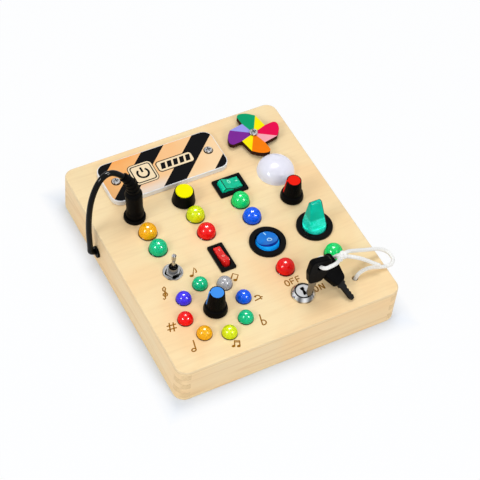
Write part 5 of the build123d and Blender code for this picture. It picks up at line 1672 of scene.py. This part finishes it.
class BUSY_OT_case(BusyBoardOperator, bpy.types.Operator):
    """Plywood face, side boards, base and its screws"""

    bl_idname = "busy.case"
    bl_label = "Case"
    builders = (make_case, make_marks)


class BUSY_OT_power(BusyBoardOperator, bpy.types.Operator):
    """Power socket, plug and grommet"""

    bl_idname = "busy.power"
    bl_label = "Socket and plug"
    builders = (make_power, make_plug_cord)


class BUSY_OT_sign(BusyBoardOperator, bpy.types.Operator):
    """Striped sign with its badge and screws"""

    bl_idname = "busy.sign"
    bl_label = "Sign"
    builders = (make_sign,)


class BUSY_OT_pinwheel(BusyBoardOperator, bpy.types.Operator):
    """Painted pinwheel on its screw"""

    bl_idname = "busy.pinwheel"
    bl_label = "Pinwheel"
    builders = (make_pinwheel,)


class BUSY_OT_lamps(BusyBoardOperator, bpy.types.Operator):
    """Coloured lamp caps and the white dome"""

    bl_idname = "busy.lamps"
    bl_label = "Lamps"
    builders = (make_large_lamps, make_ring_lamps, make_dome)


class BUSY_OT_knobs(BusyBoardOperator, bpy.types.Operator):
    """Three turning knobs"""

    bl_idname = "busy.knobs"
    bl_label = "Knobs"
    builders = (make_knobs,)


class BUSY_OT_switches(BusyBoardOperator, bpy.types.Operator):
    """Rocker switches, lever and toggle"""

    bl_idname = "busy.switches"
    bl_label = "Switches"
    builders = (make_switches, make_toggle)


class BUSY_OT_keys(BusyBoardOperator, bpy.types.Operator):
    """Key lock, keys and their string"""

    bl_idname = "busy.keys"
    bl_label = "Lock and keys"
    builders = (make_lock, make_keys, make_knots)

    def execute(self, context):
        super().execute(context)
        make_string("panel_string", "key_string", STRING_POINTS)
        make_string("ring_string", "key_loop", LOOP_POINTS)
        return {"FINISHED"}


class BUSY_OT_inside(BusyBoardOperator, bpy.types.Operator):
    """Finishes of the pieces inside the case"""

    bl_idname = "busy.inside"
    bl_label = "Inside"

    def execute(self, context):
        for node, finish in INNER_FINISHES.items():
            give_finish(node, finish)
        return {"FINISHED"}


class BUSY_PT_panel(bpy.types.Panel):
    """Lists the board's builders and settings"""

    bl_idname = "BUSY_PT_panel"
    bl_label = "Busy Board"
    bl_space_type = "VIEW_3D"
    bl_region_type = "UI"
    bl_category = "Busy Board"

    def draw(self, context):
        layout = self.layout
        for operator in OPERATORS:
            layout.operator(operator.bl_idname)
        for group in ("camera", "light", "wood"):
            box = layout.box()
            box.label(text=group.title())
            chosen = getattr(context.scene.busy_board, group)
            for name in chosen.bl_rna.properties.keys():
                if name not in ("rna_type", "name"):
                    box.prop(chosen, name)


OPERATORS = (
    BUSY_OT_stage,
    BUSY_OT_case,
    BUSY_OT_power,
    BUSY_OT_sign,
    BUSY_OT_pinwheel,
    BUSY_OT_lamps,
    BUSY_OT_knobs,
    BUSY_OT_switches,
    BUSY_OT_keys,
    BUSY_OT_inside,
)
CLASSES = (BusyBoardCamera, BusyBoardLight, BusyBoardWood, BusyBoardSettings, *OPERATORS, BUSY_PT_panel)


def register():
    for made in CLASSES:
        bpy.utils.register_class(made)
    bpy.types.Scene.busy_board = PointerProperty(type=BusyBoardSettings)


def unregister():
    del bpy.types.Scene.busy_board
    for made in reversed(CLASSES):
        bpy.utils.unregister_class(made)


def main():
    register()
    for operator in OPERATORS:
        family, name = operator.bl_idname.split(".")
        getattr(getattr(bpy.ops, family), name)()
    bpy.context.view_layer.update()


if __name__ == "__main__":
    main()
